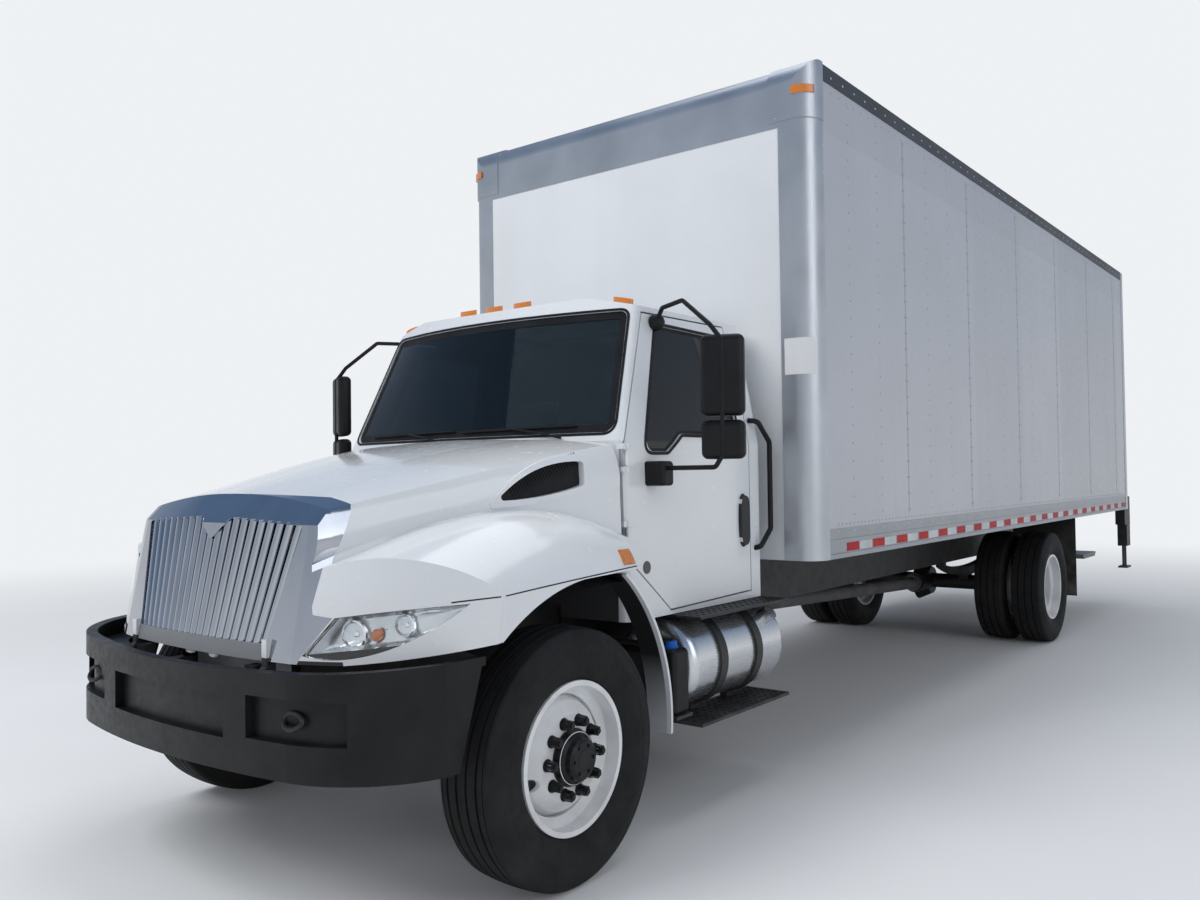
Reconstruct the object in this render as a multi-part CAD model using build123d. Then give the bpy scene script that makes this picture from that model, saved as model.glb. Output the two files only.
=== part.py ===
from build123d import *
from math import cos, hypot, radians, sin
import os

os.makedirs("parts", exist_ok=True)

# A box truck, in millimetres. Its nose points to -Y, its left side to +X, and the ground is at z = 0.
# Every piece is modelled with y = 0 over the front axle, and moved to the truck's own frame when written.

# Lengths along the truck
wheelbase = 6910
bumper_reach = 1050
body_setback = 1890
body_length = 7925
guard_reach = 285
overall_length = bumper_reach + body_setback + body_length + guard_reach
front_axle_y = bumper_reach - overall_length / 2
seat_gap = 0.3

# Chassis
rail_half_gauge = 430
rail_top = 1000
rail_height = 257
rail_flange = 78
rail_web = 8
rail_bottom = rail_top - rail_height
rail_front = -720
rail_rear_margin = 60
horn_width = 60
horn_bottom = 620
crossmember_height = 200
crossmember_length = 90
crossmember_places = (1900, 3050, 4300, 5600, 8050, 9300)
engine_bottom = 620
engine_block = ((-330, 330), (-540, 440), (engine_bottom, 1390))
cradle_y = (-450, -330)
radiator_half = 340
radiator_y = (-705, -625)
radiator_top = 1350
gearbox_rear = 1450

# Wheels and tyres, by the common truck size of a 22.5 inch rim
tyre_radius = 505
tyre_width = 279
rim_flange_radius = 298
bead_radius = 285
rim_width = 230
rim_wall = 8
stud_circle = 285.75
stud_count = 10
hub_radius = 105
front_track = 2130
dual_spacing = 330
rear_track = 1830
front_wheel_x = front_track / 2
rear_wheel_x = rear_track / 2
axle_height = tyre_radius
rear_axle_tube = 70
differential_radius = 190
differential_nose = 330
spring_width = 76
front_spring_seat = 462
rear_spring_seat = axle_height + rear_axle_tube

# Steering gear
kingpin_x = 900
kingpin_radius = 20
eye_radius = 45
eye_height = 100
ear_height = 40
ear_clearance = 5
spindle_radius = 38
spindle_length = 150
drum_radius = 205
drum_clearance = 8

# Load box
body_width = 2590
body_top = 3850
side_rail_bottom = 1125
side_rail_height = 165
side_rail_width = 42
wall_thickness = 38
sill_height = 100
floor_thickness = 38
roof_thickness = 30
long_sill_width = 90
cross_sill_width = 60
cross_sill_pitch = 405
corner_post_front = 200
corner_post_side = 145
corner_radius = 120
top_rail_height = 350
cap_height = 170
cap_reach = 258
cap_drop = 320
cap_proud = 6
side_top_rail_height = 90
rear_post_width = 100
rear_header_height = 250
rear_frame_depth = 90
door_curtain_thickness = 30
curtain_slats = 9
body_half = body_width / 2
body_rear = body_setback + body_length
floor_bottom = side_rail_bottom + sill_height
floor_top = floor_bottom + floor_thickness

# Cab shell. Columns: height, windscreen centre y, windscreen corner y, front half width, rear half width
cab_bottom = 940
belt_height = 1760
cab_back = 1800
cab_wall = 55
cab_floor_bottom = rail_top
cab_floor_thickness = 60
cab_floor_top = cab_floor_bottom + cab_floor_thickness
skirt_gap_half = 620
roof_edge = 2415
roof_crown = 2525
cab_rows = (
    (cab_bottom, 560, 590, 1000, 1012),
    (belt_height, 500, 590, 975, 1012),
    (2600, 786, 946, 832, 852),
)
rear_post_line = 1673
windscreen_bottom = 1800
windscreen_top = 2395
windscreen_half_bottom = 925
windscreen_half_top = 830
glass_thickness = 6
glass_depth = 10

# Doors, as side outlines of (y, z)
door_gap = 8
door_outline = ((600, 1235), (600, 1720), (905, 2385), (1610, 2385), (1665, 2180), (1665, 985), (930, 965))
window_outline = ((755, 1710), (940, 1712), (1065, 1800), (1580, 1800), (1565, 2320), (1000, 2335))
window_corner = 50
door_hinge_radius = 11
door_hinge_pin = 5
door_hinge_height = 70
door_hinge_levels = (1330, 1680)

# Hood sections. Columns: y, crown z, then x and z of the ridge, corner, crease and foot, then the shoulder z
hood_rows = (
    (-1000, 1500, 60, 1498, 560, 1440, 585, 1215, 588, 1200, 1130),
    (-500, 1602, 200, 1594, 675, 1540, 705, 1389, 712, 1375, 1172),
    (0, 1712, 340, 1700, 815, 1646, 852, 1482, 858, 1465, 1192),
    (620, 1798, 450, 1788, 962, 1752, 1003, 1543, 1010, 1290, 1215),
)
hood_side_x = 1175
flank_bow = 0.08
fender_bow = 0.13
hood_wall = 20
surround_thickness = 10
# Hood plan. Columns: z, nose centre y, nose corner x and y, lamp middle x and y, lamp end x and y
plan_rows = (
    (930, -935, 600, -890, 935, -702, 1172, -430),
    (1435, -830, 585, -793, 912, -640, 1172, -340),
    (1935, -390, 500, -330, 860, -200, 1172, 60),
)
hood_rear_centre = 470
hood_rear_corner = (1005, 555)
fender_rear_y = 435
hood_bottom = 945
hood_bottom_rise = ((-800, hood_bottom), (-400, 1007))
arch_front = (-400, 1000)
arch_rise = (-230, 1105)
arch_crown = (80, 1192)
arch_rear = (640, 1212)
hood_hinge_y = -900
hood_hinge_z = 900
hood_hinge_pin = 12
# Chrome surround and grille opening, as (x, z) points of their left halves
surround_top = (0, 1548)
surround_corner = ((558, 1530), (640, 1516), (674, 1480))
surround_side = ((672, 1300), (650, 1145), (658, 1118), (732, 1108), (632, 964), (610, 900))
# Rear edge of the surround on the flanks, as (y, z) points
surround_rear = ((-590, 1700), (-655, 1480), (-738, 1300), (-796, 1150))
opening_top = ((0, 1368), (110, 1452), (554, 1432))
opening_low = (455, 1003)
opening_corner = 16
grille_bars = 20
grille_bar_radius = 19
bar_seat = 8
# Headlamp, as (x, z) points: inner top and bottom, middle of the top edge, tip, middle of the bottom edge
lamp_inner = ((738, 1108), (640, 974))
lamp_top = (925, 1134)
lamp_tip = (1108, 1152)
lamp_low = (945, 1012)
# Hood vents, as (y, z) points: tip, middle of the top, rear top, rear bottom, middle of the bottom
vent_frame = ((-116, 1472), (90, 1640), (392, 1684), (380, 1538), (120, 1490))
vent_hole = ((-76, 1504), (100, 1620), (360, 1664), (348, 1562), (122, 1516))
vent_corner = 14
vent_rim = 6
fender_lamp = ((345, 425), (1228, 1286))
fender_lamp_height = 12

# Cab interior
dash_half = 880
dash_outline = ((450, 1330), (450, 1660), (740, 1690), (900, 1610), (940, 1540), (900, 1400), (860, 1330))
wheel_place = (480, 1040, 1670)
wheel_lean = 32
wheel_ring_radius = 222
wheel_ring_thickness = 15
seat_x = 480
seat_width = 500
pedestal_width = 330
seat_cushion = ((1080, 1330), (1085, 1450), (1500, 1470), (1570, 2080), (1665, 2080), (1640, 1330))

# Left side: fuel tank, its straps and steps, and the small tank ahead of it
tank_x = 900
tank_y = (930, 1830)
tank_z = 695
tank_radius = 225
tank_end_radius = 60
filler_lean = 40
strap_places = (1190, 1530)
strap_width = 60
strap_thickness = 12
top_step_x = (760, 1160)
top_step_z = (924, 936)
low_step_x = (900, 1160)
low_step_z = (425, 440)
small_tank = ((770, 1120), (775, 905), (500, 800))
shelf_thickness = 14

# Right side: battery box and exhaust
battery_x = (-1120, -640)
battery_y = (830, 1440)
battery_z = (500, 890)
muffler_x = -650
muffler_y = (1700, 2700)
muffler_z = 620
muffler_radius = 140
exhaust_pipe_radius = 45

# Splash guards behind the front wheels, as an arc of (y, z) on their outer face
guard_x = (1020, 1150)
guard_arc = ((392, 1185), (610, 930), (712, 450))
guard_thickness = 14
flap_x = (625, 1220)
flap_bottom = 340
flap_thickness = 8

# Mirrors and grab handles on the left side
mirror_tube = (
    (900, 985, 2345), (960, 950, 2405), (1110, 900, 2418), (1310, 818, 2275),
    (1380, 800, 2200), (1380, 800, 1690), (1340, 800, 1632), (1060, 800, 1632),
)
mirror_tube_radius = 11
mirror_head_width = 196
mirror_head_depth = (-6, 74)
mirror_turn = 24
mirror_head_levels = ((1860, 2225), (1668, 1842))
mirror_base = ((950, 1090), (755, 845), (1550, 1665))
mirror_ball_radius = 42
handle_tube = (
    (990, 1700, 1885), (1040, 1712, 1880), (1040, 1838, 1770),
    (1040, 1838, 1300), (1040, 1725, 1208), (990, 1712, 1200),
)
handle_radius = 14
door_handle = ((1560, 1640), (1225, 1485))

# Lamps. Roof lamps by x and y; the others by x and z
roof_lamps = ((-769, 893), (-198, 785), (0, 780), (198, 785), (769, 893))
roof_lamp_half = (58, 24)
roof_lamp_height = 26
cap_lamp = ((1184, 1290), (3664, 3706))
cap_lamp_height = 10
rear_lamps_high = (-1180, -150, 0, 150, 1180)
rear_lamps_low = (-980, -840, 840, 980)
rear_lamp_radius = 48

# Liftgate behind the load box, folded under its floor
gate_pivot_y = body_rear - 620
gate_pivot_z = 700
gate_hinge_y = body_rear + 225
gate_hinge_z = 655
gate_pivot_radius = 25
gate_pin_radius = 15
gate_arm_x = (530, 570)
gate_arm_height = 56
platform_half = 900
platform_lug_x = (576, 596)
platform_main = ((-630, -30), (-70, -45))
platform_flip = ((-600, -60), (-95, -70))
bed_plate_depth = 150
dock_post_x = (1160, 1260)
dock_post_bottom = 690
dock_foot_z = (435, 455)

# Bumper plan, as points of (x, y) on its outer face
bumper_bottom = 570
bumper_top = 925
bumper_end_top = 970
bumper_wall = 45
bumper_pocket = 33
bumper_shelf = 170
shelf_x = 560
shelf_z = 872
shelf_thickness = 14
bumper_shoulder = (720, -985)
bumper_corner = (972, -858)
bumper_cheek = (1120, -620)
bumper_end = (1125, -430)
# Bumper recesses. Columns: low x, high x, low z, high z
bumper_recesses = ((-400, 400, 685, 835), (520, 930, 700, 850), (-930, -520, 700, 850))


def block(x, y, z):
    """A box from three (low, high) ranges."""
    middle = [(low + high) / 2 for low, high in (x, y, z)]
    size = [high - low for low, high in (x, y, z)]
    return Pos(*middle) * Box(*size)


def span(middle, width):
    """The (low, high) range of a width about its middle."""
    return middle - width / 2, middle + width / 2


def rod_x(x, y, z, radius):
    """A cylinder along X between two x values."""
    return Pos((x[0] + x[1]) / 2, y, z) * Rot(0, 90, 0) * Cylinder(radius, x[1] - x[0])


def rod_y(x, y, z, radius):
    """A cylinder along Y between two y values."""
    return Pos(x, (y[0] + y[1]) / 2, z) * Rot(90, 0, 0) * Cylinder(radius, y[1] - y[0])


def rod_z(x, y, z, radius):
    """A cylinder along Z between two z values."""
    return Pos(x, y, (z[0] + z[1]) / 2) * Cylinder(radius, z[1] - z[0])


def rod_between(start, end, radius):
    """A round bar from one point to another."""
    axis = Vector(*end) - Vector(*start)
    return extrude(Plane(origin=start, z_dir=axis) * Circle(radius), axis.length)


def side_face(outline):
    """A face in the YZ plane from (y, z) points."""
    return Plane.YZ * make_face(Polyline(*outline, close=True))


def prism_x(outline, x):
    """A (y, z) outline, extruded from one x to another."""
    return Pos(x[0], 0, 0) * extrude(side_face(outline), x[1] - x[0])


def prism_y(outline, y):
    """An (x, z) outline, extruded from one y to another."""
    return Pos(0, y[1], 0) * extrude(Plane.XZ * make_face(Polyline(*outline, close=True)), y[1] - y[0])


def prism_z(outline, z):
    """An (x, y) outline, extruded from one z to another."""
    return Pos(0, 0, z[0]) * extrude(make_face(Polyline(*outline, close=True)), z[1] - z[0])


def tube(points, radius, bend):
    """A round tube along straight runs joined by bends."""
    path = FilletPolyline(*points, radius=bend)
    return sweep(Plane(origin=path @ 0, z_dir=path % 0) * Circle(radius), path=path)


def other_side(shape):
    """The same piece on the truck's right side."""
    return mirror(shape, about=Plane.YZ)


def save(name, *shapes):
    """Write one sub-part, moved to the truck's own frame."""
    solids = [Pos(0, front_axle_y, 0) * solid for shape in shapes for solid in shape.solids()]
    export_step(solids[0] if len(solids) == 1 else Compound(children=solids), f"parts/{name}.step")


def turned(profile, x):
    """A ring about the X axis from (offset, radius) points, with offset 0 at x."""
    face = make_face(Polyline(*[(offset, radius) for offset, radius in profile], close=True))
    return Pos(x, 0, 0) * revolve(Plane.XZ * face, Axis.X)


# Chassis

def frame_rail():
    """The left channel rail, its nose and the horn that carries the bumper and the hood's hinge pin."""
    inner = rail_half_gauge - rail_flange
    rear = body_rear - rail_rear_margin
    web = block((rail_half_gauge - rail_web, rail_half_gauge), (rail_front, rear), (rail_bottom, rail_top))
    rail = web
    for low in (rail_bottom, rail_top - rail_web):
        rail += block((inner, rail_half_gauge), (rail_front, rear), (low, low + rail_web))
    nose = ((rail_front - 60, 900), (rail_front - 60, 1060), (rail_front + 130, 1060))
    horn_x = (rail_half_gauge - horn_width, rail_half_gauge)
    face_y = bumper_inner_y(rail_half_gauge) + 2 * seat_gap
    horn_rear = rail_front + 60
    outline = ((face_y, horn_bottom), (face_y, 800), (-935, 850), (horn_rear, 850), (horn_rear, 680))
    horn = prism_x(outline, horn_x)
    lug = block(horn_x, (hood_hinge_y - 25, hood_hinge_y + 25), (800, hood_hinge_z + 25))
    pin = rod_x((horn_x[0], horn_x[1] + 75), hood_hinge_y, hood_hinge_z, hood_hinge_pin)
    return rail - prism_x(nose, (0, body_half)) + horn + lug + pin


def crossmembers():
    """The cross channels between the webs, the engine's cradle and the radiator's support."""
    half = rail_half_gauge - rail_web
    pieces = []
    top = rail_top - rail_web
    for y in crossmember_places:
        outer = block((-half, half), span(y, crossmember_length), (top - crossmember_height, top))
        hollow_y = (y - crossmember_length / 2 + rail_web, y + crossmember_length)
        hollow = block((-half, half), hollow_y, (top - crossmember_height + rail_web, top - rail_web))
        pieces.append(outer - hollow)
    outer = rail_half_gauge - rail_flange
    inner = outer - 20
    cradle_top = rail_bottom + 60
    under = engine_bottom - 60
    outline = (
        (-outer, cradle_top), (-outer, under), (outer, under), (outer, cradle_top),
        (inner, cradle_top), (inner, engine_bottom), (-inner, engine_bottom), (-inner, cradle_top),
    )
    pieces.append(prism_y(outline, cradle_y))
    support = rail_half_gauge - horn_width
    pieces.append(block((-support, support), radiator_y, (rail_bottom - 55, rail_bottom)))
    return pieces


def leaf_spring(axle_y, seat_z, half_length, end_z, thickness):
    """One leaf pack over an axle, with the hangers that meet the rail above."""
    lower = ThreePointArc((axle_y - half_length, end_z), (axle_y, seat_z), (axle_y + half_length, end_z))
    upper = ThreePointArc(
        (axle_y + half_length, end_z + 22), (axle_y, seat_z + thickness), (axle_y - half_length, end_z + 22)
    )
    ends = Line(lower @ 1, upper @ 0) + Line(upper @ 1, lower @ 0)
    x = (rail_half_gauge - spring_width, rail_half_gauge)
    spring = Pos(x[0], 0, 0) * extrude(Plane.YZ * make_face(lower + upper + ends), spring_width)
    for end in (axle_y - half_length + 30, axle_y + half_length - 30):
        spring += block(x, span(end, 60), (end_z + 5, rail_bottom))
    return spring


def front_axle():
    """The dropped beam, with an eye and a kingpin at each end."""
    half = kingpin_x - eye_radius + 10
    left = ((520, 372), (640, 460), (half, 460), (half, 550), (600, 550), (500, front_spring_seat))
    beam = prism_y((*left, *[(-x, z) for x, z in reversed(left)]), (-45, 45))
    for side in (-1, 1):
        beam += rod_z(side * kingpin_x, 0, span(axle_height, eye_height), eye_radius)
        reach = eye_height / 2 + ear_clearance + ear_height
        beam += rod_z(side * kingpin_x, 0, (axle_height - reach, axle_height + reach), kingpin_radius)
    return beam


def knuckle():
    """The left steering knuckle: two ears on the kingpin, a spindle and the brake's backing plate."""
    low = axle_height - eye_height / 2 - ear_clearance
    high = axle_height + eye_height / 2 + ear_clearance
    plate_x = front_wheel_x - rim_width / 2 + 8
    piece = rod_x((plate_x - 12, plate_x), 0, axle_height, drum_radius - 12)
    for ear in ((low - ear_height, low), (high, high + ear_height)):
        piece += rod_z(kingpin_x, 0, ear, eye_radius)
        piece += block((kingpin_x, plate_x - 6), (-eye_radius, eye_radius), ear)
        piece -= rod_z(kingpin_x, 0, (ear[0] - 1, ear[1] + 1), kingpin_radius + seat_gap)
    return piece + rod_x((plate_x - 6, plate_x + spindle_length), 0, axle_height, spindle_radius)


def rear_axle():
    """The rear housing with its differential and the tubes that end in spindles."""
    tube_end = rear_wheel_x - dual_spacing / 2 - rim_width / 2 - 12
    housing = rod_x((-tube_end, tube_end), wheelbase, axle_height, rear_axle_tube)
    housing += rod_x((-rear_wheel_x, rear_wheel_x), wheelbase, axle_height, spindle_radius)
    cone = Cone(differential_radius, differential_radius - 60, 130)
    bowl = Pos(0, wheelbase, axle_height) * Rot(0, 90, 0) * cone
    nose = rod_y(0, (wheelbase - differential_nose, wheelbase), axle_height, 95)
    housing = housing + bowl + nose
    for side in (-1, 1):
        seat_x = span(side * (rail_half_gauge - spring_width / 2), 90)
        housing += block(seat_x, span(wheelbase, 130), (axle_height, rear_spring_seat))
    return housing


def driveline():
    """The gearbox behind the engine, and the shaft to the rear axle."""
    gearbox = block((-190, 190), (engine_block[1][1], 900), (600, 905))
    gearbox += prism_y(((-150, 620), (150, 620), (110, 860), (-110, 860)), (900, gearbox_rear))
    nose = wheelbase - differential_nose
    shaft = rod_between((0, gearbox_rear - 20, 720), (0, nose - 30, axle_height), 55)
    flange = rod_y(0, (nose - 45, nose - seat_gap), axle_height, 75)
    return gearbox + shaft + flange


# Wheels

def rim(centre):
    """One rim as a ring: flanges, bead seats and the drop between them."""
    half = rim_width / 2
    inner = bead_radius - rim_wall
    lip = 12 - half
    left = ((-half, rim_flange_radius), (lip, rim_flange_radius), (lip, bead_radius), (-50, bead_radius))
    outside = (*left, (-35, 245), (35, 245), *[(-x, radius) for x, radius in reversed(left)])
    inside = ((half, inner), (50, inner), (35, 237), (-35, 237), (-50, inner), (-half, inner))
    return turned(outside + inside, centre)


def nuts(face_x, direction):
    """The ring of wheel nuts on a mounting face."""
    pieces = []
    for index in range(stud_count):
        angle = radians(360 / stud_count * index)
        low, high = sorted((face_x, face_x + direction * 34))
        nut = extrude(RegularPolygon(19, 6), high - low)
        place = Pos(low, stud_circle / 2 * cos(angle), stud_circle / 2 * sin(angle))
        pieces.append(place * Rot(0, 90, 0) * nut)
    return pieces


def front_wheel():
    """The left front wheel: a disc that bulges outwards, hub, drum and nuts, about the X axis."""
    wheel = rim(0)
    disc = ((-20, 241), (-20, 231), (40, 205), (78, 168), (78, 90), (92, 90), (92, 174), (50, 214), (0, 241))
    bore = spindle_radius + seat_gap
    hub = (
        (-60, bore), (-60, hub_radius), (118, hub_radius), (130, 82), (150, 78),
        (158, 66), (158, 0), (62, 0), (62, bore),
    )
    wheel += turned(disc, 0) + turned(hub, 0)
    drum_low = -rim_width / 2 + 8 + drum_clearance
    wheel += turned(((drum_low, 90), (drum_low, drum_radius), (-10, drum_radius), (-10, 90)), 0)
    for angle in (200, 20):
        hole = rod_x((-5, 80), 212 * cos(radians(angle)), 212 * sin(radians(angle)), 27)
        wheel -= hole
    for nut in nuts(91, 1):
        wheel += nut
    return wheel


def rear_wheel():
    """The left pair of rear wheels on one hub, their discs meeting back to back."""
    half = dual_spacing / 2
    wheel = rim(half) + rim(-half)
    for side in (1, -1):
        disc = (
            (half - 30, 241), (half - 45, 241), (60, 205), (8, 185), (8, 90),
            (20, 90), (20, 178), (70, 196), (half - 30, 231),
        )
        wheel += turned([(side * offset, radius) for offset, radius in disc], 0)
    bore = spindle_radius + seat_gap
    hub = (
        (-150, bore), (-150, hub_radius), (60, hub_radius), (80, 92), (110, 88),
        (120, 70), (120, 0), (6, 0), (6, bore),
    )
    drum_low = -half - 100
    drum = ((drum_low, 90), (drum_low, drum_radius - 20), (-10, drum_radius - 20), (-10, 90))
    wheel += turned(hub, 0) + turned(drum, 0)
    wheel -= turned(((drum_low - 1, 60), (drum_low - 1, 91), (-150, 91), (-150, 60)), 0)
    for nut in nuts(19, 1):
        wheel += nut
    return wheel


def tyre(centre):
    """One tyre as a closed ring, with crowned tread and bulging sidewalls."""
    half = tyre_width / 2
    bead = bead_radius + seat_gap
    foot = rim_width / 2 - 12 - seat_gap
    left = ThreePointArc((-foot, bead + 14), (-half, 385), (-half + 22, 478))
    tread = ThreePointArc((-half + 30, tyre_radius - 8), (0, tyre_radius), (half - 30, tyre_radius - 8))
    right = ThreePointArc((half - 22, 478), (half, 385), (foot, bead + 14))
    edges = left + Line(left @ 1, tread @ 0) + tread + Line(tread @ 1, right @ 0) + right
    edges += Polyline(right @ 1, (foot, bead), (-foot, bead), left @ 0)
    return Pos(centre, 0, 0) * revolve(Plane.XZ * make_face(edges), Axis.X)


# Load box

def cross_sill_places():
    """The y of every cross sill, evenly spaced under the floor."""
    first = body_setback + wall_thickness + cross_sill_width / 2
    length = body_length - rear_frame_depth - wall_thickness - cross_sill_width
    count = int(length // cross_sill_pitch)
    return [first + index * length / count for index in range(count + 1)]


def box_sills():
    """Two long sills on the chassis rails, and the cross sills that lie on them."""
    sills = []
    for side in (-1, 1):
        x = span(side * (rail_half_gauge - long_sill_width / 2), long_sill_width)
        sills.append(block(x, (body_setback, body_rear - rear_frame_depth), (rail_top, side_rail_bottom)))
    half = body_half - side_rail_width
    for y in cross_sill_places():
        sills.append(block((-half, half), span(y, cross_sill_width), (side_rail_bottom, floor_bottom)))
    return sills


def corner_posts():
    """The rounded front corner posts, the front top rail between them and the cast caps over both."""
    cap_bottom = body_top - cap_height
    x = (body_half - corner_post_front, body_half)
    y = (body_setback, body_setback + corner_post_side)
    post = block(x, y, (side_rail_bottom, cap_bottom))
    edge = post.edges().filter_by(Axis.Z).sort_by(Axis.X)[-2:].sort_by(Axis.Y)[0]
    post = fillet(edge, corner_radius)
    room_y = (body_setback + wall_thickness, y[1] + 1)
    post -= block((x[0] - 1, body_half - wall_thickness), room_y, (0, body_top))
    rail = block((-body_half, body_half), y, (body_top - top_rail_height, body_top))
    edges = rail.edges().filter_by(Axis.X).sort_by(Axis.Z)[-2:].sort_by(Axis.Y)[:1]
    edges += rail.edges().filter_by(Axis.Z).sort_by(Axis.Y)[:2]
    rail = fillet(edges, corner_radius)
    room_half = body_half - wall_thickness
    rail -= block((-room_half, room_half), room_y, (0, body_top - roof_thickness))
    rail -= block((x[0], body_half + 1), (body_setback - 1, y[1] + 1), (0, cap_bottom))
    rail -= block((-body_half - 1, -x[0]), (body_setback - 1, y[1] + 1), (0, cap_bottom))
    cap = corner_cap()
    return rail + post + other_side(post) + cap + other_side(cap)


def corner_cap():
    """The left cast cap over the corner of the post and the rails, proud of both."""
    x = (body_half - cap_reach, body_half + cap_proud)
    y = (body_setback - cap_proud, body_setback + corner_post_side - seat_gap)
    cap = block(x, y, (body_top - cap_drop, body_top + cap_proud))
    corner = cap.edges().filter_by(Axis.Z).sort_by(Axis.X)[-2:].sort_by(Axis.Y)[:1]
    top = cap.edges().group_by(Axis.Z)[-1].filter_by(Axis.X).sort_by(Axis.Y)[:1]
    cap = fillet(corner + top, corner_radius)
    room_x = (body_half - cap_reach - 1, body_half - wall_thickness)
    return cap - block(room_x, (body_setback + wall_thickness, y[1] + 1), (0, body_top - roof_thickness))


def box_side():
    """The left side wall, between the corner post and the rear frame, above the floor rail."""
    return block(
        (body_half - wall_thickness, body_half - 4),
        (body_setback + corner_post_side, body_rear - rear_frame_depth),
        (side_rail_bottom + side_rail_height, body_top - side_top_rail_height),
    )


def box_roof():
    """The roof sheet with the side top rails under its edges."""
    y = (body_setback + corner_post_side, body_rear - rear_frame_depth)
    roof = block((-body_half + 4, body_half - 4), y, (body_top - roof_thickness, body_top - 6))
    for side in (-1, 1):
        x = sorted((side * (body_half - wall_thickness), side * body_half))
        roof += block(x, y, (body_top - side_top_rail_height, body_top))
    return roof


def bottom_rails():
    """The side floor rails: a grooved extrusion along each side."""
    x = (body_half - side_rail_width, body_half)
    y = (body_setback + corner_post_side, body_rear - rear_frame_depth)
    z = (side_rail_bottom, side_rail_bottom + side_rail_height)
    rail = block(x, y, z)
    rail -= block((body_half - 8, body_half + 1), (y[0] - 1, y[1] + 1), (z[0] + 25, z[0] + 85))
    rail -= block((body_half - 5, body_half + 1), (y[0] - 1, y[1] + 1), (z[0] + 105, z[1] - 22))
    return rail, other_side(rail)


def rear_frame():
    """The steel frame round the rear doorway."""
    y = (body_rear - rear_frame_depth, body_rear)
    frame = block((-body_half, body_half), y, (side_rail_bottom, body_top))
    opening_x = body_half - rear_post_width
    opening_z = (floor_top, body_top - rear_header_height)
    return frame - block((-opening_x, opening_x), (y[0] - 1, y[1] + 1), opening_z)


def roll_up_door():
    """The closed curtain door of hinged slats, set inside the rear frame."""
    half = body_half - rear_post_width - seat_gap
    high = body_top - rear_header_height - seat_gap
    low = floor_top + seat_gap
    face = body_rear - 25
    door = block((-half, half), (face - door_curtain_thickness, face), (low, high))
    for index in range(1, curtain_slats):
        z = low + (high - low) * index / curtain_slats
        door -= block((-half - 1, half + 1), (face - 6, face + 1), span(z, 10))
    return door + block((-60, 60), (face, face + 20), (low + 120, low + 200))


# Cab

def cab_volume(inset):
    """The cab's outer form, moved in by an inset: raked windscreen, tumblehome and crowned roof."""
    sections = []
    for height, centre_y, corner_y, front_half, rear_half in cab_rows:
        front_x = front_half - inset
        rear_x = rear_half - inset
        front_y = corner_y + inset
        rear_y = cab_back - inset
        screen = ThreePointArc((-front_x, front_y), (0, centre_y + inset), (front_x, front_y))
        sides = Polyline((front_x, front_y), (rear_x, rear_y), (-rear_x, rear_y), (-front_x, front_y))
        sections.append(Pos(0, 0, height) * make_face(screen + sides))
    body = loft(sections, ruled=True)
    if inset == 0:
        upright = body.edges().filter_by(lambda edge: edge.length > 600 and abs((edge % 0.5).Z) > 0.8)
        body = fillet(upright, 45)
    edge_z = roof_edge - inset
    crown_z = roof_crown - inset
    across = ThreePointArc((-1000, edge_z - 30), (0, crown_z), (1000, edge_z - 30))
    across += Polyline((1000, edge_z - 30), (1000, 2700), (-1000, 2700), (-1000, edge_z - 30))
    body -= Pos(0, 3000, 0) * extrude(Plane.XZ * make_face(across), 4000)
    along = ThreePointArc((500, edge_z - 20), (1250, crown_z), (2000, edge_z))
    along += Polyline((2000, edge_z), (2000, 2700), (500, 2700), (500, edge_z - 20))
    return body - Pos(-1500, 0, 0) * extrude(Plane.YZ * make_face(along), 3000)


def cab_core(inset):
    """The space between the cab's sides, moved in by an inset, and open to the front, the rear and below."""
    sections = []
    low, middle, high = cab_rows
    for height, row in ((low[0] - 200, low), (low[0], low), (middle[0], middle), (high[0], high)):
        front_x = row[3] - inset
        rear_x = row[4] - inset
        left = ((front_x, 0), (front_x, row[2]), (rear_x, cab_back), (rear_x, cab_back + 300))
        right = [(-x, y) for x, y in reversed(left)]
        sections.append(Pos(0, 0, height) * make_face(Polyline(*left, *right, close=True)))
    return loft(sections, ruled=True)


def both_sides(prism):
    """A cutter on the left side, joined by its mirror image."""
    return prism + other_side(prism)


def grown(outline, gap):
    """An outline of (y, z) points, moved outwards by a gap."""
    face = offset(make_face(Polyline(*outline, close=True)), gap, kind=Kind.INTERSECTION)
    return Plane.YZ * face


def side_cut(outline, gap):
    """The left side of the cab along an outline grown by a gap, as deep as the wall and that gap."""
    return Pos(500, 0, 0) * extrude(grown(outline, gap), 700) - cab_core(cab_wall + gap)


def windscreen_prism():
    """The windscreen's outline, as seen from the front."""
    outline = (
        (-windscreen_half_bottom, windscreen_bottom), (windscreen_half_bottom, windscreen_bottom),
        (windscreen_half_top, windscreen_top), (-windscreen_half_top, windscreen_top),
    )
    face = make_face(Polyline(*outline, close=True))
    face = fillet(face.vertices(), 45)
    return Pos(0, 1100, 0) * extrude(Plane.XZ * face, 900)


def window_prism():
    """The door window's outline with rounded corners, through the left side."""
    face = make_face(Polyline(*window_outline, close=True))
    return Pos(500, 0, 0) * extrude(Plane.YZ * fillet(face.vertices(), window_corner), 700)


def hinge_line():
    """The x and y of the left door's hinge axis, on the cab's skin in the front shut gap."""
    return cab_rows[0][3] + 4, door_outline[0][0] - door_gap / 2


def door_barrels(clearance):
    """The door's hinge barrels, each with its pin bore, grown by a clearance."""
    x, y = hinge_line()
    barrels = None
    for level in door_hinge_levels:
        barrel = rod_z(x, y, span(level, door_hinge_height + 2 * clearance), door_hinge_radius + clearance)
        barrels = barrel if barrels is None else barrels + barrel
    return barrels


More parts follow.
